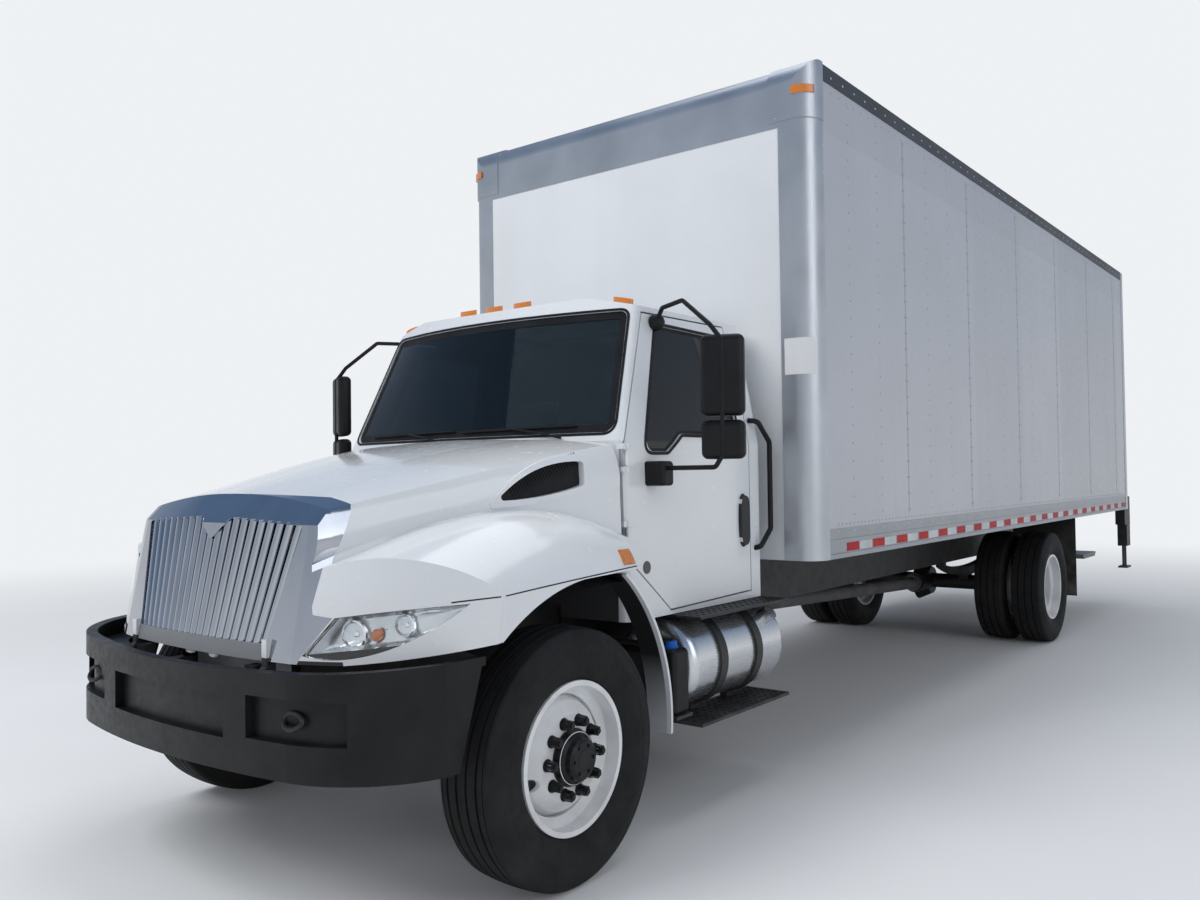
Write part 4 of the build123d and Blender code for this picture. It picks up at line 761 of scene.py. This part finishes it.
stud_tree = spread_tree("studs", (("Radius", "Float", 0.005), ("Height", "Float", 0.003), ("Taper", "Float", 0.5),
                                  ("Sides", "Int", 8)), stud_shape)
bar_tree = spread_tree("bars", (("Size", "Vector", (0.01, 0.01, 0.01)),), bar_shape)


def spread(tree, spots, **inputs):
    """The mesh that a tree makes on (place, facing, along) spots, with some of its inputs set."""
    mesh = bpy.data.meshes.new("spots")
    mesh.from_pydata([tuple(spot[0]) for spot in spots], [], [])
    for name, index in (("facing", 1), ("along", 2)):
        layer = mesh.attributes.new(name, "FLOAT_VECTOR", "POINT")
        layer.data.foreach_set("vector", [number for spot in spots for number in Vector(spot[index])])
    holder = in_scene("spots", mesh)
    modifier = holder.modifiers.new("spread", "NODES")
    modifier.node_group = tree
    for item in tree.interface.items_tree:
        if item.in_out == "INPUT" and item.name in inputs:
            modifier[item.identifier] = inputs[item.name]
    return softened(plain_mesh(holder), 50)


def heads(spots, finish, radius, height, taper=0.45, sides=8):
    """Many like heads as one mesh."""
    return spread(stud_tree, spots, Radius=radius, Height=height, Taper=taper, Sides=sides, Finish=finishes[finish])


def bars(spots, finish, *size):
    """Many like bars as one mesh."""
    return spread(bar_tree, spots, Size=size, Finish=finishes[finish])


def studs(name, spots, finish, slot, *sizes):
    """A piece of many like heads on the truck."""
    return place_piece(name, heads(spots, finish, *sizes), finish, "truck")


# Tyres

TREAD_HALF, TREAD_CROWN, GROOVE_SIDE = 0.1095, 0.0065, 0.002
TYRE_SIDE = ((0.1027, 0.2860), (0.1030, 0.2990), (0.1120, 0.3080), (0.1145, 0.3120), (0.1225, 0.3270),
             (0.1300, 0.3470), (0.1350, 0.3660), (0.1380, 0.3850), (0.1390, 0.4000), (0.1378, 0.4030),
             (0.1378, 0.4090), (0.1386, 0.4120), (0.1360, 0.4300), (0.1310, 0.4500), (0.1255, 0.4680),
             (0.1240, 0.4720), (0.1248, 0.4740), (0.1215, 0.4860), (0.1160, 0.4945), (TREAD_HALF, 0.4985))
LUG_ROWS = (-0.088, -0.030, 0.030, 0.088)
LUGS_ROUND, LUG_SKEW, LUG_SIZE = 56, 0.35, (0.046, 0.030, 0.013)
LUG_RADIUS, LUG_DROP, LUG_DROP_AT = 0.4985, 0.004, 0.1
RIB_STEPS, BLOCK_STEPS = 144, 112


def tyre_profile(grooves, depth):
    """A tyre's outside from bead to bead and back through the beads, as (offset, radius) points."""
    half = [*TYRE_SIDE]
    for middle, width in grooves:
        lip, foot = width / 2, width / 2 - GROOVE_SIDE
        for offset, down in ((lip, 0), (foot, depth), (-foot, depth), (-lip, 0)):
            place = middle + offset
            if place > -1e-6:
                half.append((place, TYRE_RADIUS - TREAD_CROWN * (place / TREAD_HALF) ** 2 - down))
    return half + [(-offset, radius) for offset, radius in reversed(half) if offset > 1e-6]


def lug_spots(centre):
    """Places of the cross bars on one rear tread, set off from row to row."""
    spots = []
    for row, offset in enumerate(LUG_ROWS):
        for index in range(LUGS_ROUND):
            angle = 2 * pi * (index + 0.5 * (row % 2)) / LUGS_ROUND
            out = Vector((0, cos(angle), sin(angle)))
            radius = LUG_RADIUS - LUG_DROP * (offset / LUG_DROP_AT) ** 2
            place = centre + out * radius + Vector((offset, 0, 0))
            skew = LUG_SKEW if offset > 0 else -LUG_SKEW
            spots.append((place, out, Vector((1, 0, 0)) + skew * Vector((0, -sin(angle), cos(angle)))))
    return spots


front_hub, rear_hub = at(FRONT_WHEEL_X, 0, AXLE_Z), at(REAR_WHEEL_X, WHEELBASE, AXLE_Z)
rib_profile = tyre_profile(((0.1020, 0.004), (0.0720, 0.011), (0.0245, 0.011)), 0.012)
block_profile = tyre_profile(((0.0600, 0.012), (0.0, 0.012)), 0.013)
duals = []
for shift in (-1, 1):
    centre = at(REAR_WHEEL_X + shift * DUAL_SPACING / 2, WHEELBASE, AXLE_Z)
    duals += [ring(block_profile, centre, BLOCK_STEPS), bars(lug_spots(centre), "tyre_rubber", *LUG_SIZE)]
ribs = ring(rib_profile, front_hub, RIB_STEPS)
ribbed = on_sides("tyre_front_{}_ribbed", ribs, "tyre_rubber", "wheel_front_{}")
lugged = on_sides("tyres_rear_{}_lugged", joined(*duals), "tyre_rubber", "wheels_rear_{}")
for side, front, rear in zip(SIDES, ribbed, lugged):
    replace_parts(front, f"tyre_front_{side}")
    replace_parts(rear, f"tyres_rear_{side}")


# Hubs and wheel nuts

NUT_CIRCLE, NUTS, NUT_REACH = 0.142875, 10, 0.042
SCREW_CIRCLE = 0.056

# Radius, height, taper and sides of the nuts' flanges, of the nuts and of the studs' ends
FLANGE, NUT, STUD_END = (0.0255, 0.009, 0.9, 16), (0.0225, NUT_REACH, 0.93, 6), (0.0135, 0.012, 0.8, 10)


def round_spots(centre, face, radius, count, along=None):
    """Spots round an axle along X, turned to the axle unless a direction is given."""
    return [(centre + Vector((face, radius * cos(a), radius * sin(a))), LEFTWARDS, along or (0, cos(a), sin(a)))
            for a in angles(count)]


def hub(name, centre, profile, mount, screws, body):
    """Covers of a pair of hubs with their screws, and the flanged nuts on their studs round them."""
    face, count, radius, height = screws
    nuts = round_spots(centre, mount, NUT_CIRCLE, NUTS)
    ends = [(place + Vector((NUT_REACH - 0.004, 0, 0)), facing, along) for place, facing, along in nuts]
    parts = joined(ring(profile, centre, 48, closed=False),
                   heads(round_spots(centre, face, SCREW_CIRCLE, count, UPWARDS), "nut_black", radius, height, 0.9, 6),
                   heads(nuts, "nut_black", *FLANGE), heads(nuts, "nut_black", *NUT),
                   heads(ends, "nut_black", *STUD_END))
    on_sides(name, parts, "nut_black", body)


hub("hub_front_{}", front_hub, [
    (0.0925, 0.1125), (0.0960, 0.1125), (0.0980, 0.1060), (0.1190, 0.1060), (0.1200, 0.1000), (0.1215, 0.0990),
    (0.1310, 0.0840), (0.1515, 0.0800), (0.1540, 0.0740), (0.1592, 0.0680), (0.1592, 0.0400), (0.1610, 0.0380),
    (0.1610, 0.0)], 0.0915, (0.1585, 6, 0.008, 0.007), "wheel_front_{}")
hub("hub_rear_{}", rear_hub, [
    (0.0205, 0.1125), (0.0240, 0.1125), (0.0260, 0.1060), (0.0610, 0.1060), (0.0815, 0.0940), (0.1110, 0.0895),
    (0.1180, 0.0800), (0.1210, 0.0715), (0.1210, 0.0)], 0.0195, (0.1200, 8, 0.009, 0.009), "wheels_rear_{}")


# Hood and front

hood_skin = Skin("hood")
lamp_skin = Skin("headlamps")

fender_seam = [at(1.6, -0.54 + 0.97 * i / 40, 1.158 + 0.058 * (i / 40) ** 0.8) for i in range(41)]
both("fender_seams", strip_on(hood_skin, fender_seam, RIGHTWARDS, 0.005, 0.0006), "shadow_black", "hood")

# The screen behind the grille's bars, with fine wires across it
GRILLE_LEAN, GRILLE_BOW = 0.205, 0.12
MESH_Y, MESH_HALF, MESH_FOOT, MESH_ROW = -0.848, 0.53, 0.985, 0.02
WIRE_Y, WIRE_Z, WIRE_BACK, WIRE_STEP, WIRE_SIZE = -0.852, 1.225, 0.24, 0.0125, (0.0025, 0.47, 0.002)
backing = [[at(x, MESH_Y + GRILLE_LEAN * (z - 1.0) + GRILLE_BOW * x ** 2, z)
            for x in [MESH_HALF * column / 20 for column in range(-20, 21)]]
           for z in [MESH_FOOT + MESH_ROW * row for row in range(25)]]
wires = [(at(x, WIRE_Y + GRILLE_LEAN * WIRE_BACK + GRILLE_BOW * x ** 2, WIRE_Z), (0, -1, GRILLE_LEAN), LEFTWARDS)
         for x in [WIRE_STEP * column for column in range(-40, 41)]]
screen = joined(lattice(backing), bars(wires, "shadow_black", *WIRE_SIZE))
place_piece("grille_screen", screen, "shadow_black", "hood")

LAMP_OUTLINE = [(0.640, 0.974), (0.740, 0.986), (0.850, 0.999), (0.945, 1.012), (1.030, 1.065), (1.080, 1.118),
                (1.108, 1.152), (1.020, 1.144), (0.925, 1.134), (0.830, 1.121), (0.738, 1.108), (0.700, 1.058),
                (0.665, 1.010)]
LAMP_MIDDLE = Vector((0.860, 1.062))


def behind_cover(x, z, back):
    """A place behind the headlamp's clear cover."""
    met, _ = lamp_skin.meet(at(x, 0.2, z), FORWARDS)
    return None if met is None else met + Vector((0, back, 0))


def lamp_housing():
    """A bright shallow box that follows the lamp's outline and falls back towards its middle."""
    outline = filled_out([Vector(point) for point in LAMP_OUTLINE], 0.02)
    rows = []
    for share, back in ((0.965, 0.004), (0.90, 0.030), (0.74, 0.046), (0.45, 0.052), (0.02, 0.054)):
        inner = [LAMP_MIDDLE.lerp(point, share) for point in outline]
        rows.append([behind_cover(*place, back) or behind_cover(*LAMP_MIDDLE, back) for place in inner])
    return lattice(rows, across=True, sharp=25)


def lamp_bowl(x, z, radius, back, deep):
    """A round reflector with its bulb's shield, facing forwards and a little outwards."""
    centre = behind_cover(x, z, back)
    facing = Vector((0.30, -1, 0)).normalized()
    side = facing.cross(Vector(UPWARDS)).normalized()
    top = side.cross(facing)
    profile = [(radius * 1.12, -0.006), (radius * 1.12, 0.004), (radius, 0.006), (radius * 0.98, 0.0),
               (radius * 0.82, -deep * 0.45), (radius * 0.55, -deep * 0.8), (radius * 0.30, -deep),
               (radius * 0.28, -deep * 0.45), (radius * 0.22, -deep * 0.25), (0.0, -deep * 0.2)]
    return lattice([[centre + (side * cos(a) + top * sin(a)) * reach + facing * out for reach, out in profile]
                    for a in angles(40)], around=True, sharp=28)


both("headlamp_housings", lamp_housing(), "lamp_silver", "hood")
bowls = joined(lamp_bowl(0.775, 1.046, 0.046, 0.034, 0.040), lamp_bowl(0.925, 1.078, 0.036, 0.034, 0.032))
both("headlamp_bowls", bowls, "lamp_mirror", "hood")
edge = [behind_cover(0.850 + 0.014 * cos(a), 1.046 + 0.022 * sin(a), 0.024) for a in angles(24)]
heart = sum(edge, Vector()) / len(edge)
reflector = lattice([[point.lerp(heart, share) + Vector((0, back, 0)) for point in edge]
                     for share, back in ((0, 0.016), (0, 0), (0.3, -0.008), (0.98, -0.010))], across=True)
both("headlamp_reflectors", reflector, "amber_glow", "hood")

# Amber lamps on the fenders
FENDER_LAMP_Y, FENDER_LAMP_Z, FENDER_LAMP_LONG, FENDER_LAMP_HIGH = 0.385, 1.2565, 0.0425, 0.0315
LENS_SEAT, LENS_BULGE = 0.0008, 0.004
rows = []
for v in [row / 6 - 1 for row in range(13)]:
    rows.append([])
    for u in [column / 6 - 1 for column in range(13)]:
        start = at(1.6, FENDER_LAMP_Y + FENDER_LAMP_LONG * u, FENDER_LAMP_Z + FENDER_LAMP_HIGH * v)
        met, normal = hood_skin.meet(start, RIGHTWARDS)
        rows[-1].append(met + normal * (LENS_SEAT + LENS_BULGE * (1 - u ** 6) * (1 - v ** 6)))
both("fender_lamp_lenses", lattice(rows), "amber_lamp", "hood")

# Black mesh behind the hood's vents, on the plane through the places round the opening
VENT = ((-0.086, 1.496), (0.097, 1.630), (0.370, 1.674))
VENT_LEAN, VENT_RISE = 0.16, 0.39
rim = [(y, z, hood_skin.meet(at(1.6, y + 0.10 * (y - 0.17), z + 0.16 * (z - 1.59)), RIGHTWARDS)[0].x)
       for y, z in VENT]
rim_y, rim_z, rim_x = rim[0]
slope = (rim[2][2] - rim_x) / (rim[2][0] - rim_y)


def on_vent(y, z, out=0.0):
    """A place on the vent's mesh."""
    x = rim_x + slope * (y - rim_y) - VENT_LEAN * (z - rim_z - VENT_RISE * (y - rim_y)) - 0.016
    return at(x + out, y, z)


vent_rows = [[on_vent(y, low + (high - low) * row / 6) for y, low, high in (
    (-0.088, 1.490, 1.502), (0.0, 1.490, 1.572), (0.10, 1.492, 1.636), (0.20, 1.512, 1.656), (0.30, 1.534, 1.668),
    (0.374, 1.548, 1.680))] for row in range(7)]
slats = [(on_vent(0.02 + 0.0132 * i, 1.542 + 0.0052 * i, 0.003), (1, 0, VENT_LEAN), (0, 1, 0.5)) for i in range(26)]
vents = joined(lattice(vent_rows), bars(slats, "vent_black", 0.003, 0.075, 0.003))
both("vent_meshes", vents, "vent_black", "hood")

# Liners over the front wheels
arch = smooth_line([at(0.93, y, z) for y, z in ((-0.40, 0.960), (-0.33, 1.005), (-0.235, 1.070), (-0.11, 1.130),
                                                (0.05, 1.160), (0.20, 1.166), (0.42, 1.172))], 5)
liner = [[point + Vector((x, 0, drop)) for x, drop in ((-0.31, -0.11), (-0.28, -0.04), (-0.20, 0.0), (0.0, 0.0),
                                                       (0.09, -0.008), (0.17, -0.024))] for point in arch]
both("arch_liners", lattice(liner), "arch_black", "hood")

# Tow eyes in the bumper's pockets
bumper_skin = Skin("front_bumper")
eyes = []
for x in (-0.72, 0.72):
    pocket, _ = bumper_skin.meet(at(x, -2, 0.775), REARWARDS)
    loop = [pocket + Vector((0.050 * cos(a), -0.004 - 0.022 * max(0.0, -sin(a)), 0.026 * sin(a))) for a in angles(28)]
    eyes.append(tube(loop, 0.009, closed=True))
place_piece("tow_eyes", joined(*eyes), "chassis_black", "truck")


# Windscreen surround and wipers

def ahead(point):
    """Where a ray towards the windscreen starts."""
    return at(point.x, CLEAR_FRONT, point.y)


screen_loop = filled_out(rounded_loop([(-0.925, 1.800), (0.925, 1.800), (0.830, 2.395), (-0.830, 2.395)], 0.05), 0.04)
glass_skin = Skin("windscreen")
band = band_on(glass_skin, screen_loop, ahead, REARWARDS, 0.003, 0.038, 0.0012)
place_piece("windscreen_band", band, "seal_rubber", "truck")
seal = band_on(Skin("cab_top", "cab_cowl"), screen_loop, ahead, REARWARDS, -0.014, -0.002, 0.003)
place_piece("windscreen_seal", seal, "seal_rubber", "truck")

BLADE = [(-0.002, 0.001), (0.002, 0.001), (0.004, 0.009), (0.0025, 0.016), (-0.0025, 0.016), (-0.004, 0.009)]
front_skin = Skin("windscreen", "cab_cowl", "cab_top")
WIPER_FOOT, WIPER_JOINT, BLADE_Z, BLADE_RISE = 1.775, 1.826, 1.822, 0.008
wipers = []
for foot, tip, low, high in ((0.66, 0.36, 0.02, 0.72), (-0.10, -0.40, -0.74, -0.04)):
    root, root_normal = front_skin.meet(at(foot, CLEAR_FRONT, WIPER_FOOT), REARWARDS)
    joint, joint_normal = glass_skin.meet(at(tip, CLEAR_FRONT, WIPER_JOINT), REARWARDS)
    arm = [root + root_normal * 0.012, root.lerp(joint, 0.5) + joint_normal * 0.030, joint + joint_normal * 0.016]
    wipers.append(tube(smooth_line(arm, 6), 0.0055))
    places = [at(low + (high - low) * i / 16, CLEAR_FRONT, BLADE_Z + BLADE_RISE * (i / 16)) for i in range(17)]
    blade = [glass_skin.meet(place, REARWARDS) for place in places]
    wipers.append(swept([met for met, _ in blade], [normal for _, normal in blade], BLADE))
place_piece("wipers", joined(*wipers), "seal_rubber", "truck")


# Door window gaskets

def beside(point):
    """Where a ray towards the left door starts."""
    return at(CLEAR_LEFT, point.x, point.y)


WINDOW = [(0.755, 1.710), (0.940, 1.712), (1.065, 1.800), (1.580, 1.800), (1.565, 2.320), (1.000, 2.335)]
window_loop = filled_out(rounded_loop(WINDOW, 0.05), 0.03)
door_skin = Skin("door_left")
surround = joined(band_on(door_skin, window_loop, beside, RIGHTWARDS, -0.016, -0.001, 0.003),
                  band_on(Skin("door_glass_left"), window_loop, beside, RIGHTWARDS, 0.003, 0.016, 0.0012))
on_sides("window_gasket_{}", surround, "seal_rubber", "door_{}")

# Rivets, joints and tape on the box

RIVET_STEP, CLOSE_STEP, WIDE_STEP, RAIL_STEP = 0.1016, 0.0508, 0.1524, 0.2032
UPRIGHT_STEP, FIRST_UPRIGHT, FIRST_EDGE = 0.406, 2.36, 2.15
FIRST_ROW, LOW_ROW, HIGH_ROW, ROOF_ROW, RAIL_ROW, POST_ROW = 1.36, 1.312, 3.715, 3.80, 1.272, 1.42
LAP_FOOT, LAP_RISE, LAP_STEP = 1.335, 2.37, 1.218
wall_skin = Skin("box_wall_left")
post_skin = Skin("front_corner_frame")
rail_skin = Skin("bottom_rails")


def mirrored(spots):
    """The same spots on the truck's right side too."""
    return spots + [(Vector((-p[0], p[1], p[2])), (-n[0], n[1], n[2]), a) for p, n, a in spots]


def from_left(skin, places, along=UPWARDS):
    """Spots on a skin, seen from the truck's left, at (y, z) places."""
    return skin.spots([at(CLEAR_LEFT, y, z) for y, z in places], RIGHTWARDS, along)


columns = [FIRST_UPRIGHT + UPRIGHT_STEP * i for i in range(19)]
places = [(y, FIRST_ROW + RIVET_STEP * i) for y in columns + [y + 0.030 for y in columns[2::3]] for i in range(24)]
places += [(FIRST_EDGE + CLOSE_STEP * i, LOW_ROW) for i in range(148)]
places += [(FIRST_EDGE + RIVET_STEP * i, HIGH_ROW) for i in range(74)]
# The wall rivets' dark grey is painted shade
studs("wall_rivets", mirrored(from_left(wall_skin, places)), "rivet_pale", "body_aluminium", 0.0075, 0.0022, 0.45, 6)
lap_heights = [LAP_FOOT + LAP_RISE * i / 12 for i in range(13)]
laps = [strip_on(wall_skin, [at(CLEAR_LEFT, y, z) for z in lap_heights], RIGHTWARDS, 0.012, 0.0012)
        for y in [columns[2] + 0.015 + LAP_STEP * lap for lap in range(6)]]
both("wall_laps", joined(*laps), "sheet_lap", "truck")
post_heights = [POST_ROW + WIDE_STEP * i for i in range(15)]
spots = post_skin.spots([at(1.085, 1.0, z) for z in post_heights], REARWARDS)
spots += from_left(post_skin, [(2.035, z) for z in post_heights])
spots += from_left(Skin("box_roof"), [(FIRST_EDGE + WIDE_STEP * i, ROOF_ROW) for i in range(50)], REARWARDS)
spots += from_left(rail_skin, [(FIRST_EDGE + RAIL_STEP * i, RAIL_ROW) for i in range(38)], REARWARDS)
studs("post_rivets", mirrored(spots), "rivet_bright", "body_aluminium", 0.0075, 0.003)
fields = [at(-1.04 + 0.416 * i, 1.0, 1.40 + RIVET_STEP * j) for i in range(6) for j in range(23)]
studs("front_rivets", Skin("box_front_wall").spots(fields, REARWARDS), "rivet_white", "body_white", 0.0055, 0.0022,
      0.45, 6)

TAPE_STEP, TAPE_END, TAPE_Z, TAPE_WIDTH = 0.3627, 9.72, 1.181, 0.048
TAPE_LONG, TAPE_GAP, TAPE_SHOWN = 0.175, 0.0035, 0.168
for name, first in (("tape_red", 2.256), ("tape_white", 2.431)):
    starts = [y for y in [first + TAPE_STEP * i for i in range(21)] if y + TAPE_LONG <= TAPE_END]
    pieces = [strip_on(rail_skin, [at(CLEAR_LEFT, y + TAPE_GAP + TAPE_SHOWN * i / 4, TAPE_Z) for i in range(5)],
                       RIGHTWARDS, TAPE_WIDTH, 0.0006) for y in starts]
    both(name, joined(*pieces), name, "truck")

# Two small pale ovals under the grille
ovals = []
for x in (-0.016, 0.150):
    middle = at(x, -0.915, 0.940)
    ovals.append(lattice([[middle + Vector((0.032 * share * cos(a), out, 0.012 * share * sin(a))) for a in angles(28)]
                          for share, out in ((1.0, 0.0), (1.0, -0.006), (0.8, -0.010), (0.02, -0.012))], across=True))
place_piece("nose_ovals", joined(*ovals), "sticker", "hood")

# Sticker, door furniture, steps and cap
sticker = [[post_skin.meet(at(1.115 + 0.165 * column / 14, 1.0, z), REARWARDS) for column in range(15)]
           for z in (2.135, 2.184, 2.234, 2.284, 2.333)]
sticker = lattice([[met + normal * 0.0005 for met, normal in row] for row in sticker])
place_piece("post_sticker", sticker, "sticker", "truck")

disc = from_left(door_skin, [(0.745, 1.175)])
plug = joined(heads(disc, "cast_grey", 0.030, 0.0015, 1.0, 28), heads(disc, "cast_grey", 0.024, 0.0045, 0.8, 28))
on_sides("door_plug_{}", plug, "cast_grey", "door_{}")

treads = [(at(x + 0.040 * i, 0.975 + 0.052 * j, z), UPWARDS, LEFTWARDS)
          for x, z, count in ((0.80, 0.936, 9), (0.935, 0.440, 6)) for i in range(count) for j in range(16)]
studs("step_treads", treads, "step_black", "step_metal", 0.013, 0.003, 0.7, 10)
collar, lid = [[(at(1.055, 0.840, z), UPWARDS, LEFTWARDS)] for z in (0.7998, 0.8097)]
cap = joined(heads(collar, "cap_blue", 0.036, 0.010, 1.0, 24), heads(lid, "cap_blue", 0.032, 0.022, 0.93, 12))
place_piece("tank_cap_blue", cap, "cap_blue", "truck")


# Seats

SWELL = 0.012
SWELL_FRAMES = 20
SEAT_SPAN = (0.246, 0.714)


def block_mesh(low, high, edge):
    """A block between two corners with its edges rounded."""
    work = bmesh.new()
    bmesh.ops.create_cube(work, size=1.0)
    for vertex in work.verts:
        vertex.co = Vector([low[i] + (high[i] - low[i]) * (vertex.co[i] + 0.5) for i in range(3)])
    bmesh.ops.bevel(work, geom=list(work.edges), offset=edge, segments=3, affect="EDGES", profile=0.5)
    mesh = bpy.data.meshes.new("block")
    work.to_mesh(mesh)
    work.free()
    return mesh


def changed(mesh, kind, frames=1, **settings):
    """The mesh that one kind of modifier makes of another, after some frames."""
    holder = in_scene("change", mesh)
    modifier = holder.modifiers.new("change", kind)
    if kind == "CLOTH":
        modifier.settings.effector_weights.gravity = 0.0
        modifier = modifier.settings
    for name, value in settings.items():
        setattr(modifier, name, value)
    for number in range(1, frames + 1):
        bpy.context.scene.frame_set(number)
    return plain_mesh(holder)


def stuffed(outline):
    """A pad from a side outline of (y, z) points, with its cover pushed out by its filling."""
    points = [at(across, *point) for across in SEAT_SPAN for point in outline]
    count = len(outline)
    faces = [tuple(range(count)), tuple(range(2 * count - 1, count - 1, -1))]
    faces += [(i, (i + 1) % count, count + (i + 1) % count, count + i) for i in range(count)]
    start = changed(mesh_of(points, faces), "REMESH", mode="VOXEL", voxel_size=0.011)
    full = changed(start.copy(), "CLOTH", SWELL_FRAMES, use_pressure=True, uniform_pressure_force=4.0, quality=4)
    for before, after in zip(start.vertices, full.vertices):
        move = after.co - before.co
        if move.length > SWELL:
            after.co = before.co + move.normalized() * SWELL
    bpy.context.scene.frame_set(1)
    result = changed(full, "SUBSURF", levels=1, render_levels=1)
    result.shade_smooth()
    return result


cushion = stuffed([(1.100, 1.352), (1.102, 1.432), (1.490, 1.452), (1.612, 1.452), (1.612, 1.352)])
rest = stuffed([(1.530, 1.490), (1.582, 2.062), (1.652, 2.062), (1.632, 1.490)])
base = joined(*[block_mesh(at(*low), at(*high), edge) for low, high, edge in (
    ((0.32, 1.165, 1.03), (0.64, 1.555, 1.28), 0.012), ((0.34, 1.140, 1.275), (0.38, 1.600, 1.325), 0.006),
    ((0.58, 1.140, 1.275), (0.62, 1.600, 1.325), 0.006), ((0.26, 1.110, 1.322), (0.70, 1.620, 1.342), 0.006))])
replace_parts(both("seat_bases", base, "trim_dark", "truck"), "seats")
for name, pad in (("seat_cushion_{}", cushion), ("seat_back_{}", rest)):
    for holder in on_sides(name, pad, "seat_cloth", "truck"):
        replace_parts(holder, "seats")

# Hinges across the curtain door's joints, and rivets round its frame

HINGE_OVER = 0.020
curtain_skin = Skin("roll_up_door")
hinges, bolts = [], []
for z in [CURTAIN_LOW + (CURTAIN_HIGH - CURTAIN_LOW) * joint / SLATS for joint in range(1, SLATS)]:
    for x in (-1.12, -0.56, 0.0, 0.56, 1.12):
        met, normal = curtain_skin.meet(at(x, CLEAR_REAR, z + HINGE_OVER), FORWARDS)
        if met is not None:
            hinges.append((met + Vector((0, 0.002, -HINGE_OVER)), normal, LEFTWARDS))
            bolts += [(met + Vector((across, 0.0035, high - HINGE_OVER)), normal, LEFTWARDS)
                      for across in (-0.018, 0.018) for high in (-0.014, 0.014)]
plates = joined(bars(hinges, "rivet_bright", 0.060, 0.050, 0.004), heads(bolts, "rivet_bright", 0.005, 0.003, 0.5, 8))
place_piece("curtain_hinges", plates, "rivet_bright", "truck")
spots = Skin("rear_frame").spots([at(x, CLEAR_REAR, z) for x in (-1.255, 1.255) for z in post_heights], FORWARDS)
studs("rear_rivets", spots, "rivet_bright", "body_aluminium", 0.0065, 0.003)


# Floor, light and camera

PALE = (0.86, 0.88, 0.90)
FLOOR_HALF = 60.0
FLOOR_PLAIN, FLOOR_LOST = 3.0, 17.0


def pale_floor():
    """A wide pale floor that turns into the background's colour far away."""
    shade = Shade("pale_floor")
    cloud = shade.ramp(shade.noise(0.6), 0.3, 0.7)
    shade.finish(Base_Color=shade.mix(cloud, (0.80, 0.81, 0.82), (0.83, 0.84, 0.85)), Roughness=0.85)
    distance = shade.value("ShaderNodeVectorMath", shade.place, operation="LENGTH", output="Value")
    far = shade.ramp(distance, FLOOR_PLAIN, FLOOR_LOST, interpolation_type="SMOOTHSTEP")
    glow = shade.value("ShaderNodeEmission", Color=PALE, Strength=1.0)
    ray = shade.values("ShaderNodeLightPath")
    seen = ray["Is Camera Ray"].most(ray["Is Glossy Ray"]).most(ray["Is Transmission Ray"])
    blend = shade.value("ShaderNodeMixShader", far * seen, Value(shade, shade.surface.outputs[0]), glow)
    shade.put(shade.tree.nodes["Material Output"], (("Surface", blend),))
    mesh = bpy.data.meshes.new("floor")
    corners = [(x * FLOOR_HALF, y * FLOOR_HALF, 0) for x, y in ((-1, -1), (1, -1), (1, 1), (-1, 1))]
    mesh.from_pydata(corners, [], [(0, 1, 2, 3)])
    mesh.materials.append(shade.material)
    in_scene("floor", mesh)


def soft_world():
    """A pale surround: plain to the camera, with a soft sky above a pale horizon in reflections, dimmer as light."""
    world = bpy.data.worlds.new("surround")
    bpy.context.scene.world = world
    world.use_nodes = True
    work = Wiring(world.node_tree)
    work.place = work.value("ShaderNodeTexCoord", output="Generated")
    light = work.tree.nodes["Background"]
    work.put(light, (("Color", (0.84, 0.90, 1.0)), ("Strength", 0.42)))
    sky = work.mix(work.ramp(work.axis("Z"), 0.02, 0.45), PALE, (0.15, 0.24, 0.39))
    ray = work.values("ShaderNodeLightPath")
    glossy = work.value("ShaderNodeMixShader", ray["Is Glossy Ray"], Value(work, light.outputs[0]),
                        work.value("ShaderNodeBackground", sky))
    seen = ray["Is Camera Ray"].most(ray["Is Transmission Ray"])
    mix = work.value("ShaderNodeMixShader", seen, glossy, work.value("ShaderNodeBackground", PALE))
    work.put(work.tree.nodes["World Output"], (("Surface", mix),))


def soft_lamp(name, place, target, size, watts, mirrored_too=True):
    """An area lamp that faces a point."""
    lamp = bpy.data.lights.new(name, "AREA")
    lamp.size = size
    lamp.energy = watts
    holder = in_scene(name, lamp)
    holder.location = place
    holder.visible_glossy = mirrored_too
    holder.rotation_euler = (Vector(target) - Vector(place)).to_track_quat("-Z", "Y").to_euler()


def photo_camera():
    """The camera at the photograph's viewing angle, by its yaw, pitch and roll."""
    yaw, pitch, roll = radians(38.43), radians(1.36), radians(-0.75)
    forwards = Vector((-sin(yaw) * cos(pitch), cos(yaw) * cos(pitch), sin(pitch)))
    side = Vector((cos(yaw), sin(yaw), 0))
    upright = side.cross(forwards)
    right = cos(roll) * side + sin(roll) * upright
    top = -sin(roll) * side + cos(roll) * upright
    camera = bpy.data.cameras.new("camera")
    camera.lens = 29.94
    camera.sensor_width = 36.0
    camera.clip_end = 200.0
    holder = in_scene("camera", camera)
    turn = Matrix((right, top, -forwards)).transposed().to_4x4()
    holder.matrix_world = Matrix.Translation(at(3.697, -2.996, 1.610)) @ turn
    bpy.context.scene.camera = holder


pale_floor()
soft_world()
soft_lamp("key", (-4.0, -12.0, 11.0), (0, -3.5, 1.5), 7.0, 950, mirrored_too=False)
soft_lamp("side", (13.0, -5.0, 7.0), (0.5, 0.5, 1.8), 8.0, 330)
soft_lamp("top", (0.0, 1.0, 13.0), (0, 1.0, 0), 10.0, 450)
photo_camera()
bpy.context.scene.view_settings.view_transform = "Standard"
